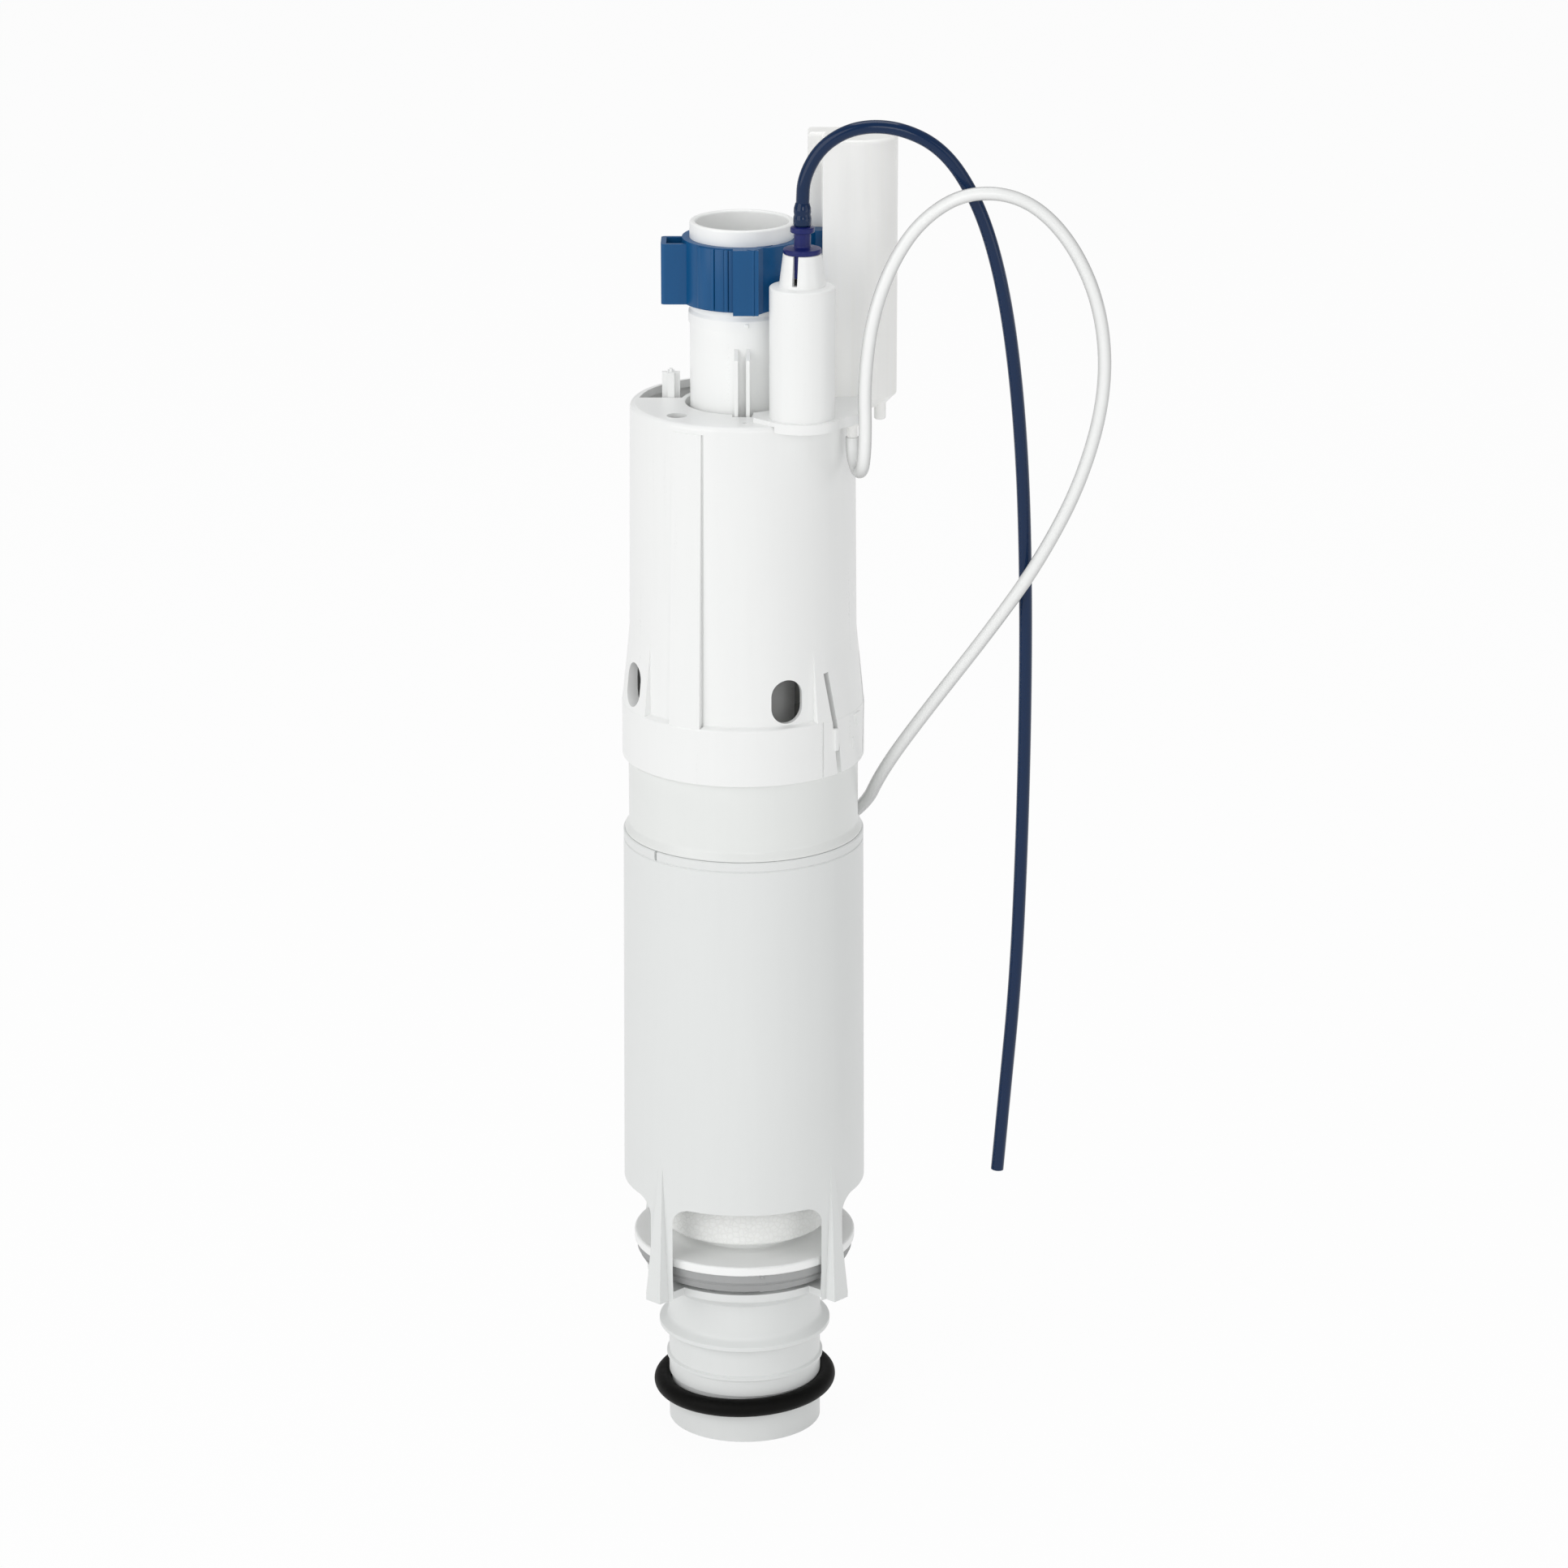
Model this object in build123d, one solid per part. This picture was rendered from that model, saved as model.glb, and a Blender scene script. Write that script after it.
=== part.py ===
from build123d import *
import math
import os

# Pneumatic flush valve of a concealed cistern. Millimetres, +Z up.
# The origin is the centre of the outlet spigot's lower rim; -Y is the front.
# Azimuths are degrees from +X, counter-clockwise seen from above.
# A rise is a height above the deck's top, a drop a depth below it.

# ---- Outlet seat -------------------------------------------------------------
spigot_r = 23.95
spigot_wall = 2.0
oring_section = 5.7
oring_z = 12.6
oring_seat_depth = 0.85
oring_side_gap = 0.15
bead_z = 21.5
bead_rise = 0.75
bead_half = 0.9
flange_z = 31.9
flange_rise = 3.05
flange_t = 1.5
neck_z = 46.2
foot_z = 50.6
foot_t = 2.4
seat_lip_z = 54.3
seat_lip_w = 1.8
shoulder_r = 28.6
shoulder_t = 1.2
neck_r = 26.9
lug_rise = 2.0
lug_width = 20.0
lug_azimuth = 110.0
bayonet_turn = 30.0
bayonet_gap = 0.2

# ---- Lower body --------------------------------------------------------------
body_r = 37.0
body_wall = 1.6
body_draft = 0.9
body_edge = 0.35
body_z0 = 82.5
body_h = 111.7
slip = 0.15
leg_count = 4
leg_azimuth = 47.0
leg_width = 6.0
window_corner = 5.5
rib_tip_w = 0.5
rib_top_z = 102.0
rib_reach = 3.6
foot_ring_r = 30.7

# ---- Retaining ring and guide sleeve -----------------------------------------
ring_h = 3.0
ring_edge = 0.3
ring_slit = 1.0
ring_slit_azimuth = -136.0
sleeve_wall = 1.6
sleeve_flange_h = 3.0
sleeve_flange_rise = 0.95
sleeve_lap = 15.6
collar_drop = 0.5
collar_edge_h = 0.5
collar_slope_h = 2.0
guide_lift = 0.8
guide_h = 6.0
guide_gap = 0.3
guide_arm_azimuths = (75.0, 225.0, 330.0)
guide_arm_w = 3.0

# ---- Upper shell -------------------------------------------------------------
band_lift = 27.0
band_h = 17.8
band_wall = 1.7
shell_step = 0.45
shell_wall = 1.6
shell_draft = 0.8
deck_lift = 110.8
deck_t = 2.4
deck_round = 1.6
deck_hole_gap = 1.5
hole_count = 4
hole_azimuth = -67.2
hole_w = 10.0
hole_h = 13.6
hole_lift = 25.6
flare_h = 23.0
flush_step = 0.15
flare_sectors = ((-52.0, 52.0), (128.0, 216.5))
strip_sector = (-127.0, -110.6)
strip_top_rise = 0.4
latch_azimuths = (-24.0, 156.0)
latch_width = 34.0
latch_slit = 2.0
latch_slit_top = 32.8
latch_slant = 8.2
border_depth = 0.5
border_w = 0.7
border_offset = 8.0
beam_y = 3.6
cutout_r = 31.4
cutout_rim = 1.35
cutout_x = -6.0
vent_r = 3.0
vent_pos = (-19.5, -18.3)
pit_r = 0.7
pit_pos = (0.9, -27.5)

# ---- Overflow tube and what it carries ----------------------------------------
tube_r = 15.75
tube_wall = 1.8
tube_z0 = 50.0
joint_rise = 25.0
overflow_rise = 55.4
socket_rise = 0.45
socket_len = 3.0
spigot_neck_len = 9.0
spigot_neck_drop = 1.15
joint_gap = 0.1
joint_seal_rise = 29.0
joint_seal_h = 1.6
joint_seal_depth = 0.5
fin_reach = 3.85
fin_t = 1.1
fin_spread = 1.75
fin_lift = 18.8
fin_top_rise = 20.0
fin_slope = 3.0
notch_gap = 0.6
seal_gap = 0.2
seal_h = 6.4
seal_r = 33.8
seal_bottom_r = 31.6
plate_r = 34.7
plate_t = 3.0
plate_bore_gap = 0.05
hub_wall = 2.7
hub_h = 3.4
retainer_wall = 3.7
retainer_h = 4.3
tail_z0 = 26.0
tail_wall = 1.2
wing_gap = 0.3
wing_t = 1.6
wing_count = 4
lift_travel = 18.0

# ---- Float -------------------------------------------------------------------
float_wall = 9.3
float_bore_gap = 1.45
float_gap = 0.3
float_h = 92.4
float_round = 1.5
rod_out = 6.85
rod_azimuth = 163.0
rod_shank_r = 2.7
rod_socket_gap = 0.05
rod_socket_depth = 50.0
rod_blade_t = 1.2
rod_rib_t = 2.0
rod_top_rise = 7.4
pip_r = 0.5
pip_h = 1.0

# ---- Actuator bracket ----------------------------------------------------------
bracket_t = 1.4
bracket_skirt = 1.6
bracket_side_gap = 0.15
trip_x = 17.9
trip_y = -24.7
trip_ledge = 1.8
nipple_inset = 1.9
nipple_back = 16.2
boss_r = 3.6
nipple_end_drop = 6.5

# ---- Lift cylinder -------------------------------------------------------------
tower_out = 0.8
tower_y = 10.0
tower_r = 11.0
tower_box_w = 11.6
tower_rise = 79.5
tower_round = 1.4
tower_roof = 1.6
lift_bore_r = 9.0
wing_back = 16.0
wing_w = 4.9
wing_y = 11.6
slot_y0 = 4.4
slot_y1 = 11.2
slot_rise = 42.8
slot_end_gap = 1.0
base_plug_h = 3.6
base_drop = 4.4
base_chamfer = 3.4
base_gap = 0.2
stub_r = 1.8
stub_h = 4.0
stub_ahead = 5.9
stub_y = 5.0
piston_rise = 8.0
piston_h = 9.0
running_gap = 0.05
piston_groove_lift = 3.0
piston_groove_h = 3.0
piston_groove_r = 7.4
piston_rod_r = 3.0
rod_neck_r = 2.0
gland_rise = 36.0
gland_h = 3.0
crosshead_r = 5.0
crosshead_h = 3.4

# ---- Lifter clamp --------------------------------------------------------------
clamp_rise = 31.2
clamp_top_rise = 50.5
clamp_wall = 2.2
ear_reach = 6.2
ear_root = 3.4
ear_y0 = -7.0
ear_y1 = 4.6
ear_wall = 1.6
ear_sink = 3.0
ear_step = 1.0
ear_round = 1.2
block_x0 = -2.6
block_x1 = 5.0
block_reach = 2.4
block_drop = 0.4
arm_t = 2.4
arm_knee = (22.4, 7.8)
arm_past = 2.4
arm_w = 5.6
arm_rise = 43.7
arm_top_rise = 51.0
arm_step = 0.4
arm_rest_gap = 0.1

# ---- Trip cylinder ---------------------------------------------------------------
trip_r = 9.8
trip_relief = 0.5
trip_bore_r = 8.2
trip_top_rise = 41.2
cone_r0 = 6.9
cone_r1 = 5.7
cone_top_rise = 50.8
cone_bore_r = 4.7
cone_slot_w = 1.6
cone_slot_azimuth = -110.0
insert_gap = 0.05
insert_rise = 44.0
air_bore_r = 0.9
collar_rise = 56.9
collar_r = 3.6
collar_h = 2.1
nipple_neck_r = 2.5
nipple_flange_r = 5.7
nipple_flange_h = 1.5
plunger_rise = 27.0
plunger_h = 7.0
plunger_rod_r = 1.5
plunger_rod_gap = 0.1
plunger_groove_lift = 2.5
plunger_groove_h = 2.0
plunger_groove_r = 6.9
spring_r = 5.0
spring_wire_r = 0.45
spring_turns = 7

# ---- Half-flush yoke ---------------------------------------------------------------
yoke_azimuth = 20.0
yoke_drop = 13.2
yoke_t = 2.4
yoke_fin_gap = 1.0
yoke_w = 3.0
yoke_tab_w = 6.0
yoke_tab_reach = 1.6
yoke_eye_r = 5.9
yoke_eye_hole_r = 4.2
yoke_ear_w = 5.0
yoke_ear_t = 4.2
yoke_ear_reach = 3.4
yoke_pin_r = 1.0
pin_bore_gap = 0.05
hanger_gap = 0.3
hanger_t = 3.5
hanger_w = 6.0
hanger_drop = 3.0
plunger_tip_gap = 0.3

# ---- Air hoses -----------------------------------------------------------------
hose_r = 2.0
arc_share = 0.45
blue_hose_route = [
    (17.9, -24.7, 391.0), (17.9, -24.7, 397.0), (18.3, -24.9, 405.8), (23.7, -25.6, 415.3),
    (33.7, -26.5, 421.0), (46.5, -26.8, 420.7), (58.9, -25.6, 414.2), (68.3, -24.0, 400.3),
    (75.0, -22.4, 381.5), (80.1, -19.6, 355.5), (83.8, -15.4, 320.0), (85.6, -11.4, 280.0),
    (86.1, -8.6, 238.0), (85.7, -7.0, 194.0), (84.3, -6.6, 148.0), (81.3, -6.2, 110.0),
    (79.4, -5.9, 85.5),
]
clear_hose_route = [
    (32.9, -18.6, 325.5), (32.9, -18.6, 321.3), (33.9, -22.8, 316.9), (35.3, -28.8, 316.9),
    (36.2, -33.0, 321.3), (36.6, -33.2, 331.0), (36.2, -33.1, 346.0), (38.4, -33.1, 365.5),
    (44.4, -32.9, 382.4), (53.1, -32.2, 394.9), (66.0, -31.0, 402.6), (82.8, -29.5, 400.8),
    (96.5, -28.2, 388.0), (106.1, -26.9, 367.0), (108.2, -25.2, 341.7), (101.7, -22.5, 313.5),
    (89.4, -18.1, 286.9), (75.5, -12.5, 264.3), (53.6, -3.3, 231.9), (42.5, 3.0, 213.5),
    (37.4, 15.5, 197.5), (28.2, 29.8, 187.5),
]

# ---- Worked-out sizes -------------------------------------------------------------
# Heights stack up: window, sleeve, shell and deck, then what stands on the deck.
body_z1 = body_z0 + body_h
band_z = body_z1 + band_lift
guide_z = band_z + guide_lift
hole_z = band_z + hole_lift
latch_slit_top_z = band_z + latch_slit_top
fin_z0 = band_z + fin_lift
deck_z = band_z + deck_lift
joint_z = deck_z + joint_rise
overflow_top_z = deck_z + overflow_rise
joint_seal_z = deck_z + joint_seal_rise
fin_top_z = deck_z + fin_top_rise
rod_top_z = deck_z + rod_top_rise
tower_top_z = deck_z + tower_rise
slot_z0 = deck_z + slot_rise
piston_z = deck_z + piston_rise
gland_z = deck_z + gland_rise
clamp_z0 = deck_z + clamp_rise
clamp_z1 = deck_z + clamp_top_rise
arm_z0 = deck_z + arm_rise
arm_z1 = deck_z + arm_top_rise
trip_top_z = deck_z + trip_top_rise
cone_z1 = deck_z + cone_top_rise
insert_z0 = deck_z + insert_rise
collar_z = deck_z + collar_rise
plunger_z = deck_z + plunger_rise
piston_groove_z = piston_z + piston_groove_lift
plunger_groove_z = plunger_z + plunger_groove_lift
yoke_z = deck_z - yoke_drop
nipple_end_z = deck_z - nipple_end_drop
spigot_bore_r = spigot_r - spigot_wall
oring_groove_r = spigot_r - oring_seat_depth
foot_top_z = foot_z + foot_t
body_bore_r = body_r - body_wall
sleeve_r = body_bore_r - slip
sleeve_bore_r = sleeve_r - sleeve_wall
sleeve_z0 = body_z1 - sleeve_flange_h
sleeve_z1 = band_z + sleeve_lap
socket_r = sleeve_r + slip
band_r = socket_r + band_wall
band_z1 = band_z + band_h
shoulder_z = sleeve_z1 + slip
shell_r = sleeve_r - shell_step
shell_bore_r = shell_r - shell_wall
deck_under_z = deck_z - deck_t
deck_hole_r = tube_r + deck_hole_gap
tube_bore_r = tube_r - tube_wall
fin_r = tube_r + fin_reach
notch_half = fin_spread + fin_t / 2 + notch_gap
seal_z = seat_lip_z + seal_gap
plate_z = seal_z + seal_h
plate_top_z = plate_z + plate_t
hub_top_z = plate_top_z + hub_h
plate_bore_r = tube_r + plate_bore_gap
hub_r = plate_bore_r + hub_wall
tail_r = plate_bore_r + tail_wall
retainer_r = plate_bore_r + retainer_wall
wing_r = spigot_bore_r - wing_gap
float_bore_r = tube_r + float_bore_gap
float_r = float_bore_r + float_wall
rod_radius = tube_r + rod_out
float_z = hub_top_z + float_gap
float_top_z = float_z + float_h
bracket_top_z = deck_z + bracket_t
bracket_foot_z = bracket_top_z - bracket_skirt - bracket_t
tower_x = shell_r + tower_out
wing_x = tower_x - wing_back
stub_x = tower_x + stub_ahead
arm_end_x = tower_x + arm_past
nipple_x = shell_r - nipple_inset
nipple_y = nipple_back - shell_r
crosshead_z = arm_z0 - arm_rest_gap - crosshead_h
slot_z1 = arm_z1 + lift_travel + slot_end_gap
clamp_bore_r = tube_r + plate_bore_gap
clamp_r = clamp_bore_r + clamp_wall
ear_x0 = -clamp_r - ear_reach
ear_x1 = -clamp_r + ear_root
block_y = -clamp_r - block_reach
trip_radius = math.hypot(trip_x, trip_y)
trip_azimuth = math.degrees(math.atan2(trip_y, trip_x))
yoke_top_z = yoke_z + yoke_t / 2
yoke_r0 = fin_r + yoke_fin_gap
yoke_r1 = yoke_r0 + yoke_w
yoke_ear_r1 = yoke_r1 + yoke_ear_reach
hanger_r0 = yoke_ear_r1 + hanger_gap
hanger_r1 = hanger_r0 + hanger_t
plunger_tip_z = yoke_top_z + plunger_tip_gap


# ---- Shared shapes -----------------------------------------------------------------
def turned(corners):
    """Solid of revolution about Z from (radius, height, rounding) corners."""
    face = make_face(Polyline([(r, z) for r, z, _ in corners], close=True))
    for r, z, rounding in corners:
        if rounding:
            corner = face.vertices().sort_by_distance((r, z, 0))[0]
            face = fillet(corner, rounding)
    return revolve(Plane.XZ * face, Axis.Z)


def pipe(outer_r, inner_r, z0, z1):
    """Plain tube about Z."""
    return turned([(inner_r, z0, 0), (outer_r, z0, 0), (outer_r, z1, 0), (inner_r, z1, 0)])


def rod(radius, z0, z1):
    """Plain cylinder about Z."""
    return Pos(0, 0, (z0 + z1) / 2) * Cylinder(radius, z1 - z0)


def block(x0, x1, y0, y1, z0, z1):
    """Box between its limits."""
    return Pos((x0 + x1) / 2, (y0 + y1) / 2, (z0 + z1) / 2) * Box(x1 - x0, y1 - y0, z1 - z0)


def turned_to(azimuth, shape):
    """The shape, modelled along +X, swung to an azimuth."""
    return Rot(0, 0, azimuth) * shape


def sector(azimuth0, azimuth1, reach, z0, z1):
    """Wedge about Z between two azimuths."""
    steps = 8
    rim = []
    for i in range(steps + 1):
        turn = math.radians(azimuth0 + (azimuth1 - azimuth0) * i / steps)
        rim.append((reach * math.cos(turn), reach * math.sin(turn)))
    wedge = make_face(Polyline([(0, 0), *rim], close=True))
    return Pos(0, 0, z0) * extrude(wedge, z1 - z0)


def prism(outline, z0, z1):
    """Upright prism on a plan outline."""
    return Pos(0, 0, z0) * extrude(make_face(Polyline(outline, close=True)), z1 - z0)


def around(azimuth, count):
    """Evenly spaced azimuths."""
    return [azimuth + 360.0 * i / count for i in range(count)]


def at(azimuth, radius):
    """Plan point at an azimuth and radius."""
    turn = math.radians(azimuth)
    return radius * math.cos(turn), radius * math.sin(turn)


# ---- Outlet seat and cage -----------------------------------------------------------
def outlet_seat():
    half_groove = oring_section / 2 + oring_side_gap
    lip_r = neck_r - 0.5
    body = turned([
        (spigot_bore_r, 0, 0),
        (spigot_r, 0, 0),
        (spigot_r, oring_z - half_groove, 0),
        (oring_groove_r, oring_z - half_groove, 0),
        (oring_groove_r, oring_z + half_groove, 0),
        (spigot_r, oring_z + half_groove, 0),
        (spigot_r, bead_z - bead_half, 0),
        (spigot_r + bead_rise, bead_z - bead_half / 2, 0),
        (spigot_r + bead_rise, bead_z + bead_half / 2, 0),
        (spigot_r, bead_z + bead_half, 0),
        (spigot_r, flange_z, 0),
        (spigot_r + flange_rise, flange_z, 0.4),
        (spigot_r + flange_rise, flange_z + flange_t, 0.4),
        (spigot_r, flange_z + 2 * flange_t, 1.8),
        (spigot_r, neck_z, 0.8),
        (shoulder_r, foot_z - shoulder_t, 0),
        (shoulder_r, foot_z, 0),
        (neck_r, foot_z, 0),
        (neck_r, seat_lip_z - bayonet_gap, 0),
        (lip_r, seat_lip_z, 0),
        (lip_r - seat_lip_w, seat_lip_z, 0.4),
        (lip_r - seat_lip_w, foot_z, 0),
        (spigot_bore_r, neck_z, 0),
    ])
    lug_z = foot_top_z + bayonet_gap
    lug_ring = pipe(neck_r + lug_rise, neck_r - 0.3, lug_z, seat_lip_z - bayonet_gap)
    for azimuth in around(lug_azimuth, leg_count):
        wedge = sector(azimuth - lug_width / 2, azimuth + lug_width / 2, body_r, lug_z, seat_lip_z)
        body += lug_ring & wedge
    return body


def outlet_o_ring():
    centre_r = oring_groove_r + oring_section / 2
    return Pos(0, 0, oring_z) * Torus(centre_r, oring_section / 2)


def lower_body():
    foot_r = body_r + body_draft
    body = turned([
        (body_bore_r, foot_z, 0),
        (foot_r, foot_z, 0),
        (body_r, body_z1 - body_edge, 0),
        (body_r - body_edge, body_z1, 0),
        (body_bore_r, body_z1, 0),
    ])
    counterbore_r = sleeve_r + sleeve_flange_rise + slip
    body -= rod(counterbore_r, sleeve_z0, body_z1)
    half_window = body_r * math.sin(math.radians(180 / leg_count)) - leg_width / 2
    opening = RectangleRounded(2 * half_window, 2 * (body_z0 - foot_z), window_corner)
    cutter = Pos(0, 0, foot_z) * extrude(Plane.YZ * opening, 2 * body_r)
    for azimuth in around(leg_azimuth + 180 / leg_count, leg_count):
        body -= turned_to(azimuth, cutter)
    body += pipe(foot_ring_r, neck_r + bayonet_gap, foot_z, foot_top_z)
    # Wedge along each leg, as wide as the leg at the foot and fading out up the wall.
    rib_z0 = foot_top_z - 0.3
    base_x = (body_bore_r + foot_r + rib_reach) / 2
    base = Pos(base_x, 0, rib_z0) * Rectangle(2 * (base_x - body_bore_r), leg_width)
    tip = Pos(body_r - body_wall / 2, 0, rib_top_z) * Rectangle(body_wall, rib_tip_w)
    rib = loft([base.face(), tip.face()])
    foot = block(foot_ring_r - 1, foot_r + rib_reach, -leg_width / 2, leg_width / 2, foot_z, foot_top_z)
    for azimuth in around(leg_azimuth, leg_count):
        body += turned_to(azimuth, rib)
        body += turned_to(azimuth, foot)
    notch_ring = rod(neck_r + lug_rise + bayonet_gap, foot_z, foot_top_z)
    half_notch = lug_width / 2 + 2
    for azimuth in around(lug_azimuth - bayonet_turn, leg_count):
        wedge = sector(azimuth - half_notch, azimuth + half_notch, body_r, foot_z, foot_top_z)
        body -= notch_ring & wedge
    return body


def retaining_ring():
    top_z = body_z1 + ring_h
    ring = turned([
        (socket_r, body_z1, 0),
        (body_r - ring_edge, body_z1, 0),
        (body_r, body_z1 + ring_edge, 0),
        (body_r, top_z - ring_edge, 0),
        (body_r - ring_edge, top_z, 0),
        (socket_r, top_z, 0),
    ])
    slit = block(body_r - 6, body_r + 2, -ring_slit / 2, ring_slit / 2, body_z1, top_z)
    return ring - turned_to(ring_slit_azimuth, slit)


def guide_sleeve():
    collar_z0 = body_z1 + ring_h + slip
    return turned([
        (sleeve_bore_r, sleeve_z0, 0),
        (sleeve_r + sleeve_flange_rise, sleeve_z0, 0),
        (sleeve_r + sleeve_flange_rise, body_z1, 0),
        (sleeve_r, body_z1, 0),
        (sleeve_r, collar_z0, 0),
        (body_r - collar_drop, collar_z0, 0),
        (body_r - collar_drop, collar_z0 + collar_edge_h, 0.3),
        (sleeve_r, collar_z0 + collar_edge_h + collar_slope_h, 1.5),
        (sleeve_r, sleeve_z1, 0.5),
        (sleeve_bore_r, sleeve_z1, 0),
    ])


def tube_guide():
    rim_r = sleeve_bore_r - running_gap
    z1 = guide_z + guide_h
    guide = pipe(rim_r, rim_r - 1.6, guide_z, z1)
    bore_r = tube_r + guide_gap
    guide += pipe(bore_r + 2.0, bore_r, guide_z, z1)
    arm = block(bore_r + 1, rim_r - 0.8, -guide_arm_w / 2, guide_arm_w / 2, guide_z, z1)
    for azimuth in guide_arm_azimuths:
        guide += turned_to(azimuth, arm)
    return guide


# ---- Upper shell and bracket ----------------------------------------------------------
def shell_radius(z):
    """Outer radius of the drafted shell at a height."""
    return shell_r - shell_draft * (z - band_z1) / (deck_z - band_z1)


def shell_flares():
    """Skirts that widen the shell down to the band on both sides."""
    flare_top_z = band_z1 + flare_h
    foot_r = band_r - flush_step
    cone = turned([
        (shell_r - 0.5, shoulder_z, 0),
        (foot_r, shoulder_z, 0),
        (foot_r, band_z1, 4),
        (shell_radius(flare_top_z), flare_top_z, 0),
        (shell_r - 0.5, flare_top_z, 0),
    ])
    flares = []
    for azimuth0, azimuth1 in flare_sectors:
        flares.append(cone & sector(azimuth0, azimuth1, 2 * band_r, shoulder_z, flare_top_z))
    return flares


def raised_strip():
    """Upright strip, flush with the band and fading out towards the deck."""
    z1 = deck_z - deck_round - 1
    cone = turned([
        (shell_r - 0.5, shoulder_z, 0),
        (band_r - flush_step, shoulder_z, 0),
        (shell_radius(z1) + strip_top_rise, z1, 0),
        (shell_radius(z1) - 0.5, z1, 0),
    ])
    return cone & sector(*strip_sector, 2 * band_r, shoulder_z, z1)


def yoke_hanger():
    """Bearing block that hangs from the deck, along +X."""
    z0 = yoke_z - hanger_drop
    return block(hanger_r0, hanger_r1, -hanger_w / 2, hanger_w / 2, z0, deck_under_z + 0.5)


def upper_shell():
    shell = turned([
        (socket_r, band_z, 0),
        (band_r, band_z, 0.6),
        (band_r, band_z1, 0.8),
        (shell_r, band_z1 + 0.6, 0.5),
        (shell_radius(deck_z), deck_z, deck_round),
        (deck_hole_r, deck_z, 0.4),
        (deck_hole_r, deck_under_z, 0),
        (shell_bore_r - shell_draft, deck_under_z, 0),
        (shell_bore_r, shoulder_z, 0),
        (socket_r, shoulder_z, 0),
    ])
    shell += shell_flares()
    shell += raised_strip()
    for azimuth in (yoke_azimuth, yoke_azimuth + 180):
        shell += turned_to(azimuth, yoke_hanger())
    pin_bore = Pos(0, 0, yoke_z) * Rot(0, 90, 0) * Cylinder(yoke_pin_r, 2 * hanger_r1)
    shell -= turned_to(yoke_azimuth, pin_bore)
    # Water holes round the shell.
    slot = extrude(Plane.YZ * Rot(0, 0, 90) * SlotOverall(hole_h, hole_w), 2 * body_r)
    for azimuth in around(hole_azimuth, hole_count):
        shell -= turned_to(azimuth, Pos(0, 0, hole_z) * slot)
    # Slits either side of each latch tongue, and the groove beside each slit.
    slit_drop = latch_slit_top_z - band_z + 1
    slit = Box(2 * (band_r - shell_bore_r), latch_slit, slit_drop)
    groove = block(band_r - border_depth, band_r + 1, -border_w / 2, border_w / 2, band_z, band_z1)
    for azimuth in latch_azimuths:
        for side in (-1, 1):
            edge = azimuth + side * latch_width / 2
            slant = Rot(-side * latch_slant, 0, 0)
            shell -= turned_to(edge, Pos(band_r - 1, 0, latch_slit_top_z - slit_drop / 2) * slant * slit)
            shell -= turned_to(edge + side * border_offset, groove)
    # Groove along the strip's right edge.
    z1 = deck_z - deck_round - 1
    groove_profile = [
        (shell_r - border_depth, band_z1),
        (band_r + 1, band_z1),
        (band_r + 1, z1),
        (shell_radius(z1) - border_depth, z1),
    ]
    groove = extrude(Plane.XZ * make_face(Polyline(groove_profile, close=True)), border_w / 2, both=True)
    shell -= turned_to(strip_sector[1] + 0.5, groove)
    # Deck openings: fin notch, vent, pit and the cut-out behind the beam.
    shell -= block(-notch_half, notch_half, -fin_r - notch_gap, 0, deck_under_z, deck_z)
    shell -= Pos(*vent_pos, 0) * rod(vent_r, deck_under_z, deck_z)
    shell -= Pos(*pit_pos, 0) * rod(pit_r, deck_z - 1, deck_z)
    cutout = pipe(cutout_r, deck_hole_r + cutout_rim, deck_under_z, deck_z)
    shell -= cutout & block(-body_r, cutout_x, beam_y, body_r, deck_under_z, deck_z)
    # Passage for the trip plunger's rod.
    passage_r = plunger_rod_r + plunger_rod_gap
    shell -= Pos(trip_x, trip_y, 0) * rod(passage_r, deck_under_z, deck_z)
    return shell


def actuator_bracket():
    ledge_r = trip_r + trip_ledge
    z0 = bracket_foot_z
    right_x = nipple_x + boss_r
    outline = [
        (notch_half + 0.4, -fin_r - notch_gap - 0.4),
        (notch_half + 0.4, trip_y - 2.0),
        (trip_x - ledge_r + 3, trip_y - 7.5),
        (trip_x, trip_y - ledge_r),
        (trip_x + 5, trip_y - ledge_r + 1.2),
        (right_x - 1, nipple_y - 2.6),
        (right_x, nipple_y),
        (right_x, tower_y + tower_r),
        (wing_x, tower_y + tower_r),
        (wing_x, 0),
        (trip_x - 2, trip_y + ledge_r),
    ]
    bracket = prism(outline, z0, bracket_top_z)
    bracket += Pos(trip_x, trip_y, 0) * rod(ledge_r, z0, bracket_top_z)
    bracket += Pos(nipple_x, nipple_y, 0) * rod(boss_r, z0, bracket_top_z)
    bracket -= rod(shell_radius(z0) + bracket_side_gap, z0 - 1, deck_z)
    bracket -= rod(deck_hole_r + cutout_rim, deck_z, bracket_top_z)
    passage_r = plunger_rod_r + plunger_rod_gap
    bracket -= Pos(trip_x, trip_y, 0) * rod(passage_r, deck_z, bracket_top_z)
    return bracket


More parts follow.
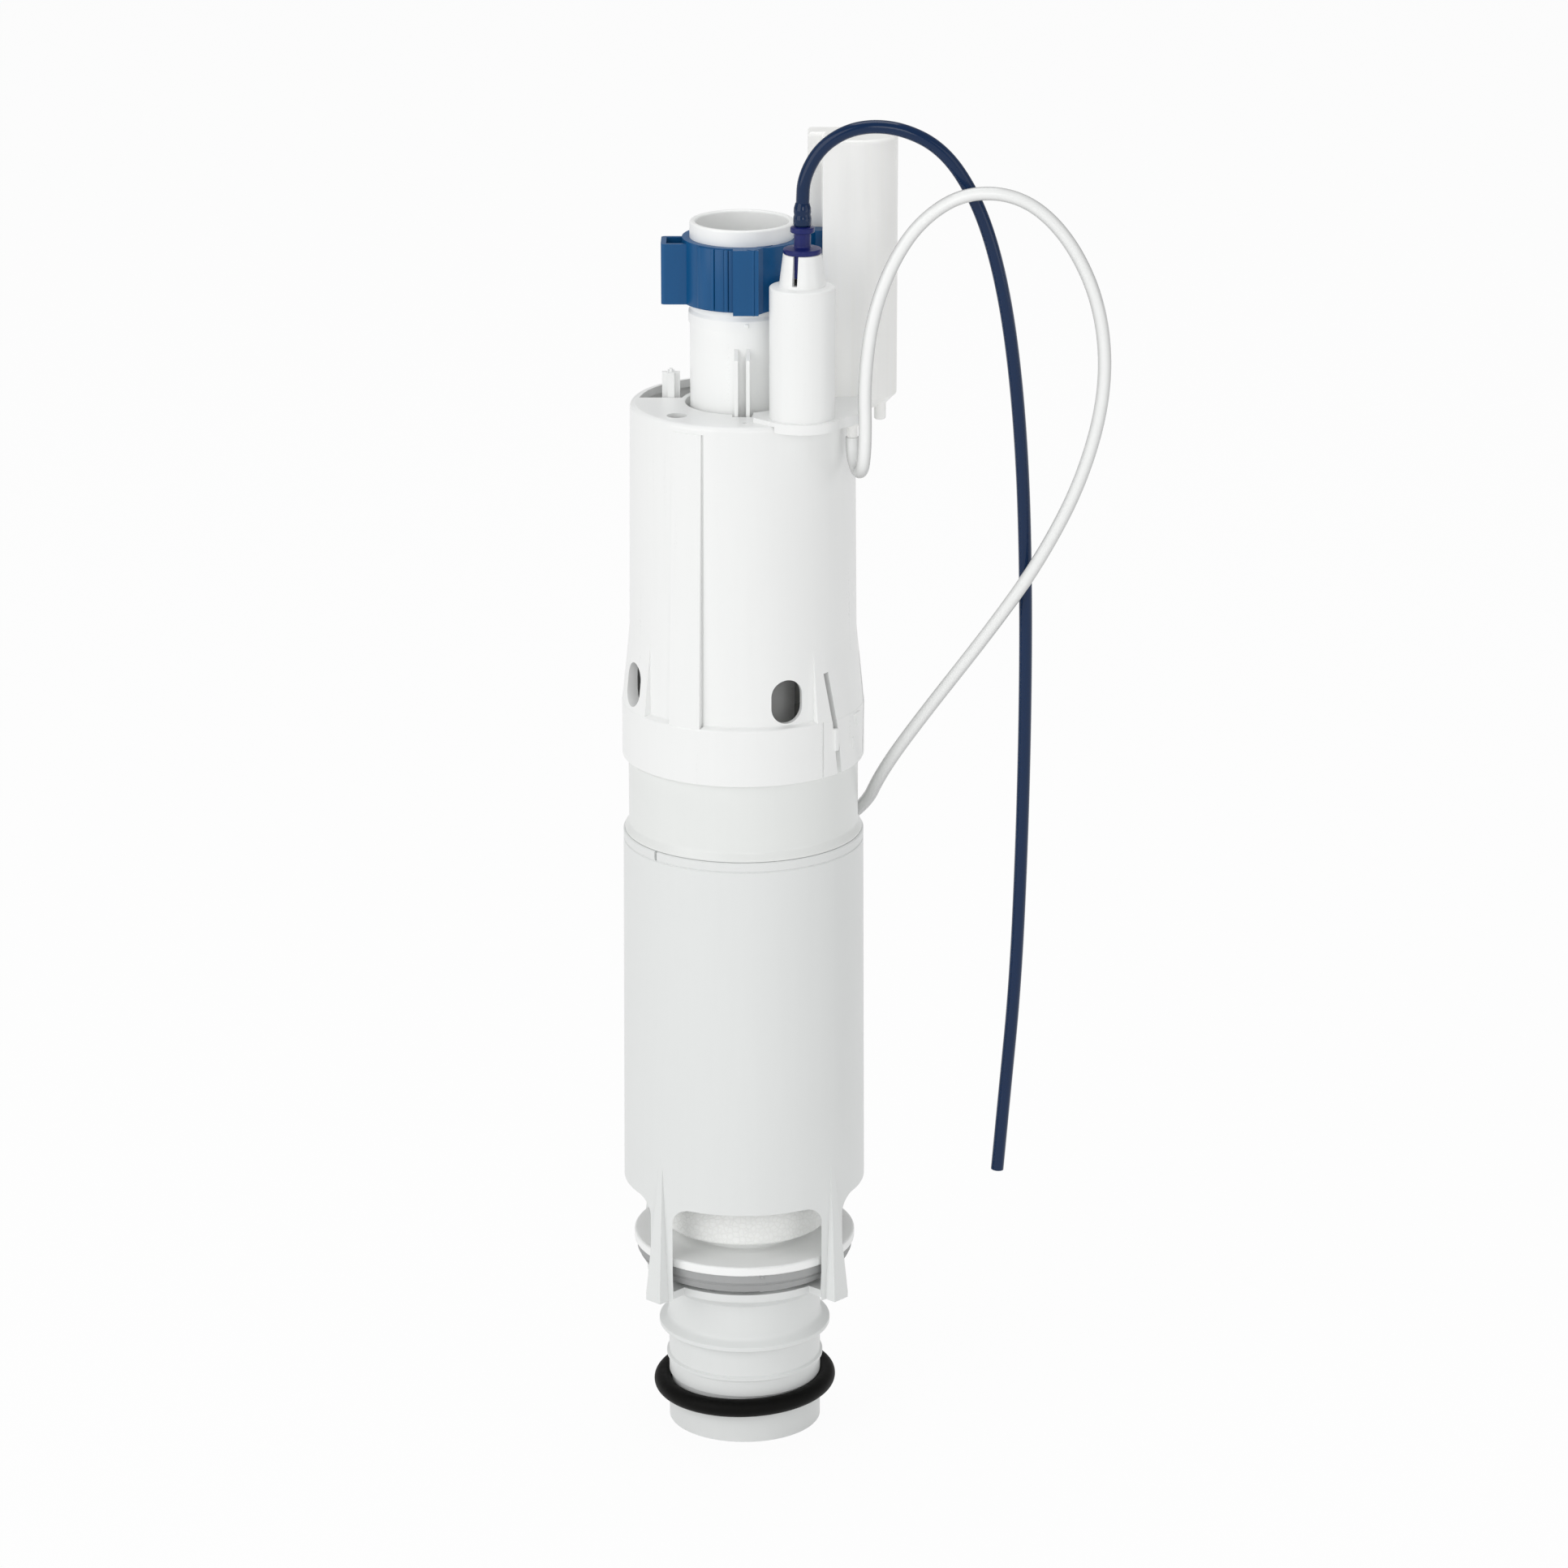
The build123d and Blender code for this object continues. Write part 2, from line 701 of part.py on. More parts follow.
# ---- Overflow tube, disc, seal and clamp -------------------------------------------------
def overflow_tube():
    neck_r_top = tube_r - spigot_neck_drop
    tube = turned([
        (tube_bore_r, tube_z0, 0),
        (tube_r, tube_z0, 0),
        (tube_r, joint_z, 0),
        (neck_r_top, joint_z, 0),
        (neck_r_top, joint_seal_z, 0),
        (neck_r_top - joint_seal_depth, joint_seal_z, 0),
        (neck_r_top - joint_seal_depth, joint_seal_z + joint_seal_h, 0),
        (neck_r_top, joint_seal_z + joint_seal_h, 0),
        (neck_r_top, joint_z + spigot_neck_len, 0),
        (tube_bore_r, joint_z + spigot_neck_len, 0),
    ])
    fin_profile = [
        (-tube_r + 0.6, fin_z0),
        (-fin_r, fin_z0),
        (-fin_r, fin_top_z - fin_slope),
        (-tube_r + 0.6, fin_top_z),
    ]
    fin = extrude(Plane.YZ * make_face(Polyline(fin_profile, close=True)), fin_t / 2, both=True)
    for side in (-1, 1):
        tube += Pos(side * fin_spread, 0, 0) * fin
    return tube


def joint_seal():
    neck_r_top = tube_r - spigot_neck_drop
    return pipe(
        neck_r_top + joint_gap / 2, neck_r_top - joint_seal_depth, joint_seal_z, joint_seal_z + joint_seal_h
    )


def overflow_extension():
    socket_bore_r = tube_r - spigot_neck_drop + joint_gap
    shoulder_z = joint_z + spigot_neck_len + joint_gap
    return turned([
        (socket_bore_r, joint_z, 0),
        (tube_r + socket_rise, joint_z, 0),
        (tube_r + socket_rise, joint_z + socket_len, 0),
        (tube_r, joint_z + socket_len + 1, 0),
        (tube_r, overflow_top_z, 0.7),
        (tube_bore_r, overflow_top_z, 0.7),
        (tube_bore_r, shoulder_z, 0),
        (socket_bore_r, shoulder_z, 0),
    ])


def valve_plate():
    return turned([
        (plate_bore_r, plate_z, 0),
        (plate_r, plate_z, 0.5),
        (plate_r, plate_top_z, 0.7),
        (hub_r, plate_top_z, 0.6),
        (hub_r, hub_top_z, 0.4),
        (plate_bore_r, hub_top_z, 0),
    ])


def valve_seal():
    mid_z = seal_z + seal_h / 2
    return turned([
        (tail_r, seal_z, 0),
        (seal_bottom_r, seal_z, 0.5),
        (seal_r - 0.6, mid_z - 0.6, 0),
        (seal_r - 0.9, mid_z - 0.3, 0),
        (seal_r - 0.9, mid_z + 0.1, 0),
        (seal_r, mid_z + 0.5, 0.3),
        (seal_r, plate_z, 0.4),
        (tail_r, plate_z, 0),
    ])


def plate_retainer():
    z1 = seal_z
    retainer = turned([
        (plate_bore_r, tail_z0, 0),
        (tail_r, tail_z0, 0),
        (tail_r, z1 - retainer_h, 0),
        (retainer_r, z1 - retainer_h, 0),
        (retainer_r, z1, 0),
        (plate_bore_r, z1, 0),
    ])
    wing = block(tail_r - 0.6, wing_r, -wing_t / 2, wing_t / 2, tail_z0, z1 - retainer_h + 1)
    for azimuth in around(leg_azimuth, wing_count):
        retainer += turned_to(azimuth, wing)
    return retainer


def lifter_clamp():
    clamp = rod(clamp_r, clamp_z0, clamp_z1)
    # Hollow ear on the left.
    ear = block(ear_x0, ear_x1 + ear_sink, ear_y0, ear_y1, clamp_z0, clamp_z1 - ear_step)
    ear = fillet(ear.edges().filter_by(Axis.Z).group_by(Axis.X)[0], ear_round)
    hollow = block(
        ear_x0 + ear_wall, ear_x1, ear_y0 + ear_wall, ear_y1 - ear_wall, clamp_z0 - 1, clamp_z1 + 1
    )
    clamp += ear
    clamp -= hollow - rod(clamp_r, clamp_z0 - 2, clamp_z1 + 2)
    # Front block.
    z0 = clamp_z0 - block_drop
    clamp += block(block_x0, block_x1, block_y, 0, z0, clamp_z1)
    # Arm: a web tangent to the ring, then a finger into the lift cylinder.
    start = (block_x1 - arm_t, block_y + arm_t / 6)
    run_x = arm_knee[0] - start[0]
    run_y = arm_knee[1] - start[1]
    run = math.hypot(run_x, run_y)
    web_z0 = arm_z0 + arm_step
    web_z1 = arm_z1 - arm_step
    web_profile = [(0, clamp_z0 - arm_step), (run * 0.45, clamp_z0 - arm_step),
                   (run * 0.9, web_z0), (run, web_z0), (run, web_z1), (0, web_z1)]
    web = extrude(Plane.XZ * make_face(Polyline(web_profile, close=True)), arm_t / 2, both=True)
    web_turn = math.degrees(math.atan2(run_y, run_x))
    arm = Pos(*start, 0) * Rot(0, 0, web_turn) * web
    finger_y = (slot_y0 + slot_y1) / 2
    arm += block(arm_knee[0] - arm_t, arm_end_x, finger_y - arm_w / 2, finger_y + arm_w / 2, arm_z0, arm_z1)
    clamp += arm
    # Relief where a wide ring would meet the trip cylinder.
    clamp -= Pos(trip_x, trip_y, 0) * rod(trip_r + trip_relief, z0 - 1, arm_z1 + 1)
    return clamp - rod(clamp_bore_r, z0 - 1, arm_z1 + 1)


# ---- Float ---------------------------------------------------------------------------------
def float_block():
    block_shape = turned([
        (float_bore_r, float_z, 0),
        (float_r, float_z, float_round),
        (float_r, float_top_z, float_round),
        (float_bore_r, float_top_z, 0),
    ])
    socket_r_here = rod_shank_r + rod_socket_gap
    x, y = at(rod_azimuth, rod_radius)
    return block_shape - Pos(x, y, 0) * rod(socket_r_here, float_top_z - rod_socket_depth, float_top_z)


def float_rod():
    shank_top_z = float_top_z + 4
    shank = rod(rod_shank_r, float_top_z - rod_socket_depth, shank_top_z)
    width = 2 * rod_shank_r
    blade = Pos(0, 0, (shank_top_z + rod_top_z) / 2) * Box(width, rod_blade_t, rod_top_z - shank_top_z)
    rib = Pos(0, 0, (shank_top_z + rod_top_z) / 2) * Box(rod_rib_t, width, rod_top_z - shank_top_z)
    pip = rod(pip_r, rod_top_z, rod_top_z + pip_h)
    x, y = at(rod_azimuth, rod_radius)
    return Pos(x, y, 0) * (shank + blade + rib + pip)


# ---- Lift cylinder ------------------------------------------------------------------------
def tower_plan(radius):
    """Cylinder plan with a square left half."""
    return Circle(radius) + Pos(-tower_box_w / 2, 0) * Rectangle(tower_box_w, 2 * radius)


def lift_cylinder():
    height = tower_top_z - bracket_top_z
    tower = Pos(tower_x, tower_y, bracket_top_z) * extrude(tower_plan(tower_r), height)
    tower += block(wing_x, wing_x + wing_w, wing_y, tower_y + tower_r, bracket_top_z, tower_top_z)
    tower = fillet(tower.faces().sort_by(Axis.Z)[-1].outer_wire().edges(), tower_round)
    tower -= Pos(tower_x, tower_y, 0) * rod(lift_bore_r, bracket_top_z, tower_top_z - tower_roof)
    tower -= block(wing_x - 1, tower_x, slot_y0, slot_y1, slot_z0, slot_z1)
    return tower


def cylinder_base():
    plug_r = lift_bore_r - insert_gap
    base = Pos(tower_x, tower_y, 0) * rod(plug_r, bracket_top_z, bracket_top_z + base_plug_h)
    z0 = bracket_top_z - base_drop
    foot = Pos(tower_x, tower_y, z0) * extrude(Circle(tower_r), base_drop)
    foot = chamfer(foot.faces().sort_by(Axis.Z)[0].edges(), base_chamfer)
    inner_x = nipple_x + boss_r + base_gap
    foot -= block(0, inner_x, tower_y - 2 * tower_r, tower_y + 2 * tower_r, z0, bracket_top_z)
    stub = Pos(stub_x, stub_y, 0) * turned([
        (0, z0 - stub_h, 0), (stub_r, z0 - stub_h, 0.8), (stub_r, z0 + 2, 0), (0, z0 + 2, 0)
    ])
    return base + foot + stub


def lift_piston():
    piston_r = lift_bore_r - running_gap
    groove_z1 = piston_groove_z + piston_groove_h
    neck_z = crosshead_z
    return Pos(tower_x, tower_y, 0) * turned([
        (0, piston_z, 0),
        (piston_r, piston_z, 0.3),
        (piston_r, piston_groove_z, 0),
        (piston_groove_r, piston_groove_z, 0),
        (piston_groove_r, groove_z1, 0),
        (piston_r, groove_z1, 0),
        (piston_r, piston_z + piston_h, 0.3),
        (piston_rod_r, piston_z + piston_h, 0),
        (piston_rod_r, neck_z, 0),
        (rod_neck_r, neck_z, 0),
        (rod_neck_r, neck_z + crosshead_h - 1, 0),
        (0, neck_z + crosshead_h - 1, 0),
    ])


def piston_seal():
    outer_r = lift_bore_r - running_gap
    return Pos(tower_x, tower_y, 0) * pipe(
        outer_r, piston_groove_r, piston_groove_z, piston_groove_z + piston_groove_h
    )


def rod_gland():
    outer_r = lift_bore_r - insert_gap
    bore_r = piston_rod_r + running_gap
    return Pos(tower_x, tower_y, 0) * pipe(outer_r, bore_r, gland_z, gland_z + gland_h)


def crosshead():
    z1 = crosshead_z + crosshead_h
    bore_r = rod_neck_r + insert_gap
    return Pos(tower_x, tower_y, 0) * turned([
        (bore_r, crosshead_z, 0),
        (crosshead_r, crosshead_z, 0.3),
        (crosshead_r, z1, 0.3),
        (0, z1, 0),
        (0, z1 - 1 + insert_gap, 0),
        (bore_r, z1 - 1 + insert_gap, 0),
    ])


# ---- Trip cylinder --------------------------------------------------------------------------
def trip_cylinder():
    roof_z = trip_top_z - (trip_r - trip_bore_r)
    body = turned([
        (trip_bore_r, bracket_top_z, 0),
        (trip_r, bracket_top_z, 0),
        (trip_r, trip_top_z - 0.4, 0.5),
        (cone_r0, trip_top_z, 0),
        (cone_r1, cone_z1, 0.3),
        (cone_bore_r, cone_z1, 0),
        (cone_bore_r, roof_z, 0),
        (trip_bore_r, roof_z, 0),
    ])
    slot = block(0, 2 * cone_r0, -cone_slot_w / 2, cone_slot_w / 2, trip_top_z + 0.8, cone_z1)
    return Pos(trip_x, trip_y, 0) * (body - turned_to(cone_slot_azimuth, slot))


def trip_nipple():
    flange_top_z = cone_z1 + nipple_flange_h
    return Pos(trip_x, trip_y, 0) * turned([
        (air_bore_r, insert_z0, 0),
        (cone_bore_r - insert_gap, insert_z0, 0),
        (cone_bore_r - insert_gap, cone_z1, 0),
        (nipple_flange_r, cone_z1, 0.4),
        (nipple_flange_r, flange_top_z, 0.5),
        (nipple_neck_r, flange_top_z + 0.4, 0.6),
        (nipple_neck_r, collar_z, 0),
        (collar_r, collar_z + 0.3, 0.3),
        (collar_r, collar_z + collar_h - 0.4, 0.4),
        (collar_r - 1.2, collar_z + collar_h, 0),
        (air_bore_r, collar_z + collar_h, 0),
    ])


def trip_plunger():
    piston_r = trip_bore_r - running_gap
    groove_z1 = plunger_groove_z + plunger_groove_h
    return Pos(trip_x, trip_y, 0) * turned([
        (0, plunger_tip_z, 0),
        (plunger_rod_r, plunger_tip_z, 1.2),
        (plunger_rod_r, plunger_z, 0),
        (piston_r, plunger_z, 0),
        (piston_r, plunger_groove_z, 0),
        (plunger_groove_r, plunger_groove_z, 0),
        (plunger_groove_r, groove_z1, 0),
        (piston_r, groove_z1, 0),
        (piston_r, plunger_z + plunger_h, 0.4),
        (0, plunger_z + plunger_h, 0),
    ])


def plunger_seal():
    outer_r = trip_bore_r - running_gap
    return Pos(trip_x, trip_y, 0) * pipe(
        outer_r, plunger_groove_r, plunger_groove_z, plunger_groove_z + plunger_groove_h
    )


def trip_spring():
    z0 = bracket_top_z + spring_wire_r
    height = plunger_z - bracket_top_z - 2 * spring_wire_r
    coil = Helix(height / spring_turns, height, spring_r)
    section = Plane(origin=coil @ 0, z_dir=coil % 0) * Circle(spring_wire_r)
    return Pos(trip_x, trip_y, z0) * sweep(section, path=coil)


# ---- Half-flush yoke -------------------------------------------------------------------------
def half_flush_yoke():
    z0 = yoke_z - yoke_t / 2
    yoke = pipe(yoke_r1, yoke_r0, z0, yoke_top_z)
    tab = block(yoke_r0 + 1, trip_radius + yoke_tab_reach, -yoke_tab_w / 2, yoke_tab_w / 2, z0, yoke_top_z)
    yoke += turned_to(trip_azimuth, tab)
    x, y = at(rod_azimuth, rod_radius)
    yoke += Pos(x, y, 0) * rod(yoke_eye_r, z0, yoke_top_z)
    yoke -= Pos(x, y, 0) * rod(yoke_eye_hole_r, z0, yoke_top_z)
    ear_z0 = yoke_z - yoke_ear_t / 2
    ear = block(yoke_r0 + 0.6, yoke_ear_r1, -yoke_ear_w / 2, yoke_ear_w / 2, ear_z0, ear_z0 + yoke_ear_t)
    for azimuth in (yoke_azimuth, yoke_azimuth + 180):
        yoke += turned_to(azimuth, ear)
    bore = Pos(0, 0, yoke_z) * Rot(0, 90, 0) * Cylinder(yoke_pin_r + pin_bore_gap, 2 * yoke_ear_r1 + 1)
    yoke -= turned_to(yoke_azimuth, bore)
    return yoke


def yoke_pins():
    length = hanger_r1 - yoke_r0 - 1
    pin = Pos(hanger_r1 - length / 2, 0, yoke_z) * Rot(0, 90, 0) * Cylinder(yoke_pin_r, length)
    return Compound([turned_to(azimuth, pin) for azimuth in (yoke_azimuth, yoke_azimuth + 180)])


# ---- Air hoses -------------------------------------------------------------------------------
def clear_hose_nipple():
    z1 = bracket_foot_z
    return Pos(nipple_x, nipple_y, 0) * turned([
        (air_bore_r, nipple_end_z, 0),
        (hose_r - 0.4, nipple_end_z, 0),
        (hose_r - 0.4, z1 - 1.0, 0),
        (hose_r + 0.5, z1 - 1.0, 0),
        (hose_r + 0.5, z1, 0),
        (air_bore_r, z1, 0),
    ])


def bend_radii(route):
    """One radius per corner, as large as its two runs allow."""
    points = [Vector(*point) for point in route]
    radii = []
    for before, corner, after in zip(points, points[1:], points[2:]):
        run_in = corner - before
        run_out = after - corner
        half_turn = math.radians(run_in.get_angle(run_out) / 2)
        radii.append(arc_share * min(run_in.length, run_out.length) / math.tan(half_turn))
    return radii


def hose(name, route):
    radii = bend_radii(route)
    path = FilletPolyline(*route, radius=radii)
    section = Plane(origin=path @ 0, z_dir=path % 0) * Circle(hose_r)
    tube = sweep(section, path=path)
    expected = math.pi * hose_r ** 2 * path.length
    print(name, "radii", [round(radius, 1) for radius in radii])
    print(name, "length", round(path.length, 1), "volume ratio", round(tube.volume / expected, 4))
    return tube


def main():
    nodes = {
        "outlet_seat": outlet_seat(),
        "outlet_o_ring": outlet_o_ring(),
        "lower_body": lower_body(),
        "retaining_ring": retaining_ring(),
        "guide_sleeve": guide_sleeve(),
        "tube_guide": tube_guide(),
        "upper_shell": upper_shell(),
        "actuator_bracket": actuator_bracket(),
        "overflow_tube": overflow_tube(),
        "joint_seal": joint_seal(),
        "overflow_extension": overflow_extension(),
        "valve_plate": valve_plate(),
        "valve_seal": valve_seal(),
        "plate_retainer": plate_retainer(),
        "lifter_clamp": lifter_clamp(),
        "float_block": float_block(),
        "float_rod": float_rod(),
        "lift_cylinder": lift_cylinder(),
        "cylinder_base": cylinder_base(),
        "lift_piston": lift_piston(),
        "piston_seal": piston_seal(),
        "rod_gland": rod_gland(),
        "crosshead": crosshead(),
        "trip_cylinder": trip_cylinder(),
        "trip_nipple": trip_nipple(),
        "trip_plunger": trip_plunger(),
        "plunger_seal": plunger_seal(),
        "trip_spring": trip_spring(),
        "half_flush_yoke": half_flush_yoke(),
        "yoke_pins": yoke_pins(),
        "clear_hose_nipple": clear_hose_nipple(),
        "blue_hose": hose("blue_hose", blue_hose_route),
        "clear_hose": hose("clear_hose", clear_hose_route),
    }
    os.makedirs("parts", exist_ok=True)
    for name, shape in nodes.items():
        export_step(shape, os.path.join("parts", name + ".step"))


main()
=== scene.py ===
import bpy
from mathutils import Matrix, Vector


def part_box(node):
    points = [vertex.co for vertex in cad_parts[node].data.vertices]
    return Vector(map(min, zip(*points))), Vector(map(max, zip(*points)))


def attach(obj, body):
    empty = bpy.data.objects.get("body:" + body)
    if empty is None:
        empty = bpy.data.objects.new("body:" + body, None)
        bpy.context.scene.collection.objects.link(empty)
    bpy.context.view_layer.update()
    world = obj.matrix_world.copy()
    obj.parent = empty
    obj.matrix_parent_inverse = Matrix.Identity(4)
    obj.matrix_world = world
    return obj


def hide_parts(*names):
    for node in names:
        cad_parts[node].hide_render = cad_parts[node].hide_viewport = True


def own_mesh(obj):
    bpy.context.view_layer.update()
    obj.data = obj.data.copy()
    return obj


bl_info = {
    "name": "Cistern flush valve",
    "version": (1, 0, 0),
    "blender": (4, 5, 0),
    "location": "View3D > Sidebar > Flush valve",
    "description": "Finishes, hoses and moulded details of a pneumatic flush valve",
    "category": "Object",
}

import math

import bmesh
import bpy
from bpy.props import FloatProperty, FloatVectorProperty, PointerProperty
from mathutils import Matrix, Vector

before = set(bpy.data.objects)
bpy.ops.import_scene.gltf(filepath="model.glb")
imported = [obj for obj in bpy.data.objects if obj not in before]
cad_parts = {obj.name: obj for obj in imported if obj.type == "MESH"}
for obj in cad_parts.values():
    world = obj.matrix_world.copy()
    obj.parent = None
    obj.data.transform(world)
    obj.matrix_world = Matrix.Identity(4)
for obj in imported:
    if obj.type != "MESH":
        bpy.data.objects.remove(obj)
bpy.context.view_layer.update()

# Corners closer than this are joined, in metres.
MERGE_DISTANCE = 1e-7
# Faces that meet at less than this are shaded as one, in degrees.
SMOOTH_ANGLE = 35.0
# Edges that turn by more than this are real corners, in radians.
CORNER_ANGLE = 0.6
# Fineness of a hose's round section, and steps between two points of its route.
HOSE_ROUNDNESS = 7
HOSE_STEPS = 14

# Routes of the two air hoses, in metres, from the nipple to the free end.
BLUE_HOSE_ROUTE = (
    (0.0179, -0.0247, 0.3910), (0.0179, -0.0247, 0.3970), (0.0183, -0.0249, 0.4058),
    (0.0237, -0.0256, 0.4153), (0.0337, -0.0265, 0.4210), (0.0465, -0.0268, 0.4207),
    (0.0589, -0.0256, 0.4142), (0.0683, -0.0240, 0.4003), (0.0750, -0.0224, 0.3815),
    (0.0801, -0.0196, 0.3555), (0.0838, -0.0154, 0.3200), (0.0856, -0.0114, 0.2800),
    (0.0861, -0.0086, 0.2380), (0.0857, -0.0070, 0.1940), (0.0843, -0.0066, 0.1480),
    (0.0813, -0.0062, 0.1100), (0.0794, -0.0059, 0.0855),
)
CLEAR_HOSE_ROUTE = (
    (0.0329, -0.0186, 0.3255), (0.0329, -0.0186, 0.3213), (0.0339, -0.0228, 0.3169),
    (0.0353, -0.0288, 0.3169), (0.0362, -0.0330, 0.3213), (0.0366, -0.0332, 0.3310),
    (0.0362, -0.0331, 0.3460), (0.0384, -0.0331, 0.3655), (0.0444, -0.0329, 0.3824),
    (0.0531, -0.0322, 0.3949), (0.0660, -0.0310, 0.4026), (0.0828, -0.0295, 0.4008),
    (0.0965, -0.0282, 0.3880), (0.1061, -0.0269, 0.3670), (0.1082, -0.0252, 0.3417),
    (0.1017, -0.0225, 0.3135), (0.0894, -0.0181, 0.2869), (0.0755, -0.0125, 0.2643),
    (0.0536, -0.0033, 0.2319), (0.0425, 0.0030, 0.2135), (0.0374, 0.0155, 0.1975),
    (0.0282, 0.0298, 0.1875),
)


def tone(red, green, blue):
    """A display colour of 0 to 255 as a shader colour, by the sRGB curve."""
    linear = []
    for value in (red, green, blue):
        share = value / 255
        if share <= 0.04045:
            linear.append(share / 12.92)
        else:
            linear.append(((share + 0.055) / 1.055) ** 2.4)
    return (*linear, 1.0)


def colour(name, description, shade):
    """A colour property, its default given as a display colour."""
    return FloatVectorProperty(
        name=name, description=description, default=tone(*shade), size=4, min=0.0, max=1.0,
        subtype="COLOR",
    )


def length(name, description, metres, soft_max=0.5):
    """A length property."""
    return FloatProperty(
        name=name, description=description, default=metres, min=0.0, soft_max=soft_max,
        unit="LENGTH", subtype="DISTANCE", precision=5,
    )


class ValveColours(bpy.types.PropertyGroup):
    body: colour("Body", "Lower body, seat and retaining ring", (233, 235, 234))
    shell: colour("Shell", "Upper shell, deck bracket, float rod, trip cylinder", (247, 248, 247))
    sleeve: colour("Sleeve", "Guide sleeve and tube guide", (237, 239, 237))
    tube: colour("Overflow tube", "Overflow tube, its extension, retainer", (251, 252, 251))
    natural: colour("Natural plastic", "Lift cylinder and sliding pieces", (255, 255, 253))
    disc: colour("Valve disc", "Disc over the seal", (254, 255, 254))
    seal: colour("Seal", "Rubber of the valve seal", (170, 171, 171))
    black: colour("Black rubber", "O-ring and small rings", (4, 4, 3))
    foam: colour("Foam", "Beads of the float", (253, 254, 252))
    clamp: colour("Clamp", "Blue plastic of the lifter clamp", (0, 80, 132))
    nipple: colour("Nipple", "Violet blue plastic of the air nipple", (22, 32, 100))
    blue_hose: colour("Blue hose", "Tinted air hose", (0, 36, 74))
    clear_hose: colour("Clear hose", "Unpigmented air hose", (252, 253, 252))
    steel: colour("Steel", "Spring and pins", (185, 187, 190))


class ValveSizes(bpy.types.PropertyGroup):
    hose_diameter: length("Hose diameter", "Outer diameter of both air hoses", 0.004)
    cuff_diameter: length("Cuff diameter", "Outer diameter of the blue hose over the barb", 0.0054)
    clamp_radius: length("Clamp radius", "Outer radius of the lifter clamp's ring", 0.018)
    clamp_foot: length("Clamp foot", "Height of the clamp's lower edge", 0.3632)
    clamp_height: length("Clamp height", "Height of the clamp's ring", 0.0193)
    band_radius: length("Band radius", "Outer radius of the shell's lower band", 0.0371)
    socket_radius: length("Socket radius", "Outer radius of the overflow tube's socket", 0.0162)
    seal_radius: length("Seal radius", "Outer radius of the valve seal", 0.0338)
    ring_tilt: FloatProperty(
        name="Ring tilt", description="Lean of the O-ring on the spigot",
        default=math.radians(1.7), min=0.0, max=0.1, unit="ROTATION", subtype="ANGLE",
    )
    spring_wire: length("Spring wire", "Diameter of the return spring's wire", 0.0009)
    trip_travel: length("Trip travel", "Stroke of the trip plunger", 0.006)
    blue_length: length("Blue hose length", "Length of the blue hose", 0.3974)
    clear_length: length("Clear hose length", "Length of the clear hose", 0.3850)
    floor_span: length("Floor span", "Width of the floor", 16.0, soft_max=20.0)


class Term:
    """A shader socket that takes part in arithmetic."""

    def __init__(self, finish, socket):
        self.finish = finish
        self.socket = socket

    def _math(self, operation, first, second):
        return self.finish.node("ShaderNodeMath", {"operation": operation}, {0: first, 1: second})

    def __add__(self, other):
        return self._math("ADD", self, other)

    def __radd__(self, other):
        return self._math("ADD", other, self)

    def __sub__(self, other):
        return self._math("SUBTRACT", self, other)

    def __rsub__(self, other):
        return self._math("SUBTRACT", other, self)

    def __mul__(self, other):
        return self._math("MULTIPLY", self, other)


# Materials and the world by name, filled in as they are made.
FINISHES = {}


class Finish:
    """The node tree of one material, or of the world."""

    def __init__(self, name, kind="materials"):
        self.owner = getattr(bpy.data, kind).new(name)
        self.owner.use_nodes = True
        FINISHES[name] = self.owner
        self.tree = self.owner.node_tree
        self.tree.nodes.clear()

    def node(self, kind, settings=None, values=None, out=0):
        """Adds a node, first its settings and then its sockets, and gives one of its outputs.

        The setting "stops" holds a colour ramp's places and grey shades.
        """
        made = self.tree.nodes.new(kind)
        for key, value in (settings or {}).items():
            if key == "stops":
                ramp = made.color_ramp.elements
                for stop, (place, shade) in enumerate(value):
                    spot = ramp[stop] if stop < len(ramp) else ramp.new(place)
                    spot.position = place
                    spot.color = (shade, shade, shade, 1.0)
            else:
                setattr(made, key, value)
        for key, value in (values or {}).items():
            if isinstance(value, Term):
                self.tree.links.new(value.socket, made.inputs[key])
            else:
                made.inputs[key].default_value = value
        return Term(self, made.outputs[out]) if made.outputs else made

    def place(self, stretch=(1.0, 1.0, 1.0)):
        """Object coordinates, stretched along the axes."""
        spot = self.node("ShaderNodeTexCoord", out="Object")
        return self.node("ShaderNodeMapping", None, {"Vector": spot, "Scale": stretch})

    def noise(self, scale, stretch=(1.0, 1.0, 1.0), detail=2.0):
        """A noise over the piece, in cycles per metre."""
        values = {"Vector": self.place(stretch), "Scale": scale, "Detail": detail}
        return self.node("ShaderNodeTexNoise", None, values)

    def shaded(self, base, factor):
        """The base colour times a factor."""
        values = {"Vector": base[:3], "Scale": factor}
        return self.node("ShaderNodeVectorMath", {"operation": "SCALE"}, values)

    def bumped(self, height, distance):
        """A normal from a height, its full depth given in metres."""
        values = {"Height": height, "Distance": distance, "Strength": 1.0}
        return self.node("ShaderNodeBump", None, values)

    def surface(self, **values):
        """Closes the tree with a surface shader and gives the material."""
        keys = {key.replace("_", " "): value for key, value in values.items()}
        shader = self.node("ShaderNodeBsdfPrincipled", None, keys)
        self.node("ShaderNodeOutputMaterial", None, {"Surface": shader})
        return self.owner


def swing(noise, amount):
    """A noise turned into a change either way, of half the amount at most."""
    return (noise - 0.5) * amount


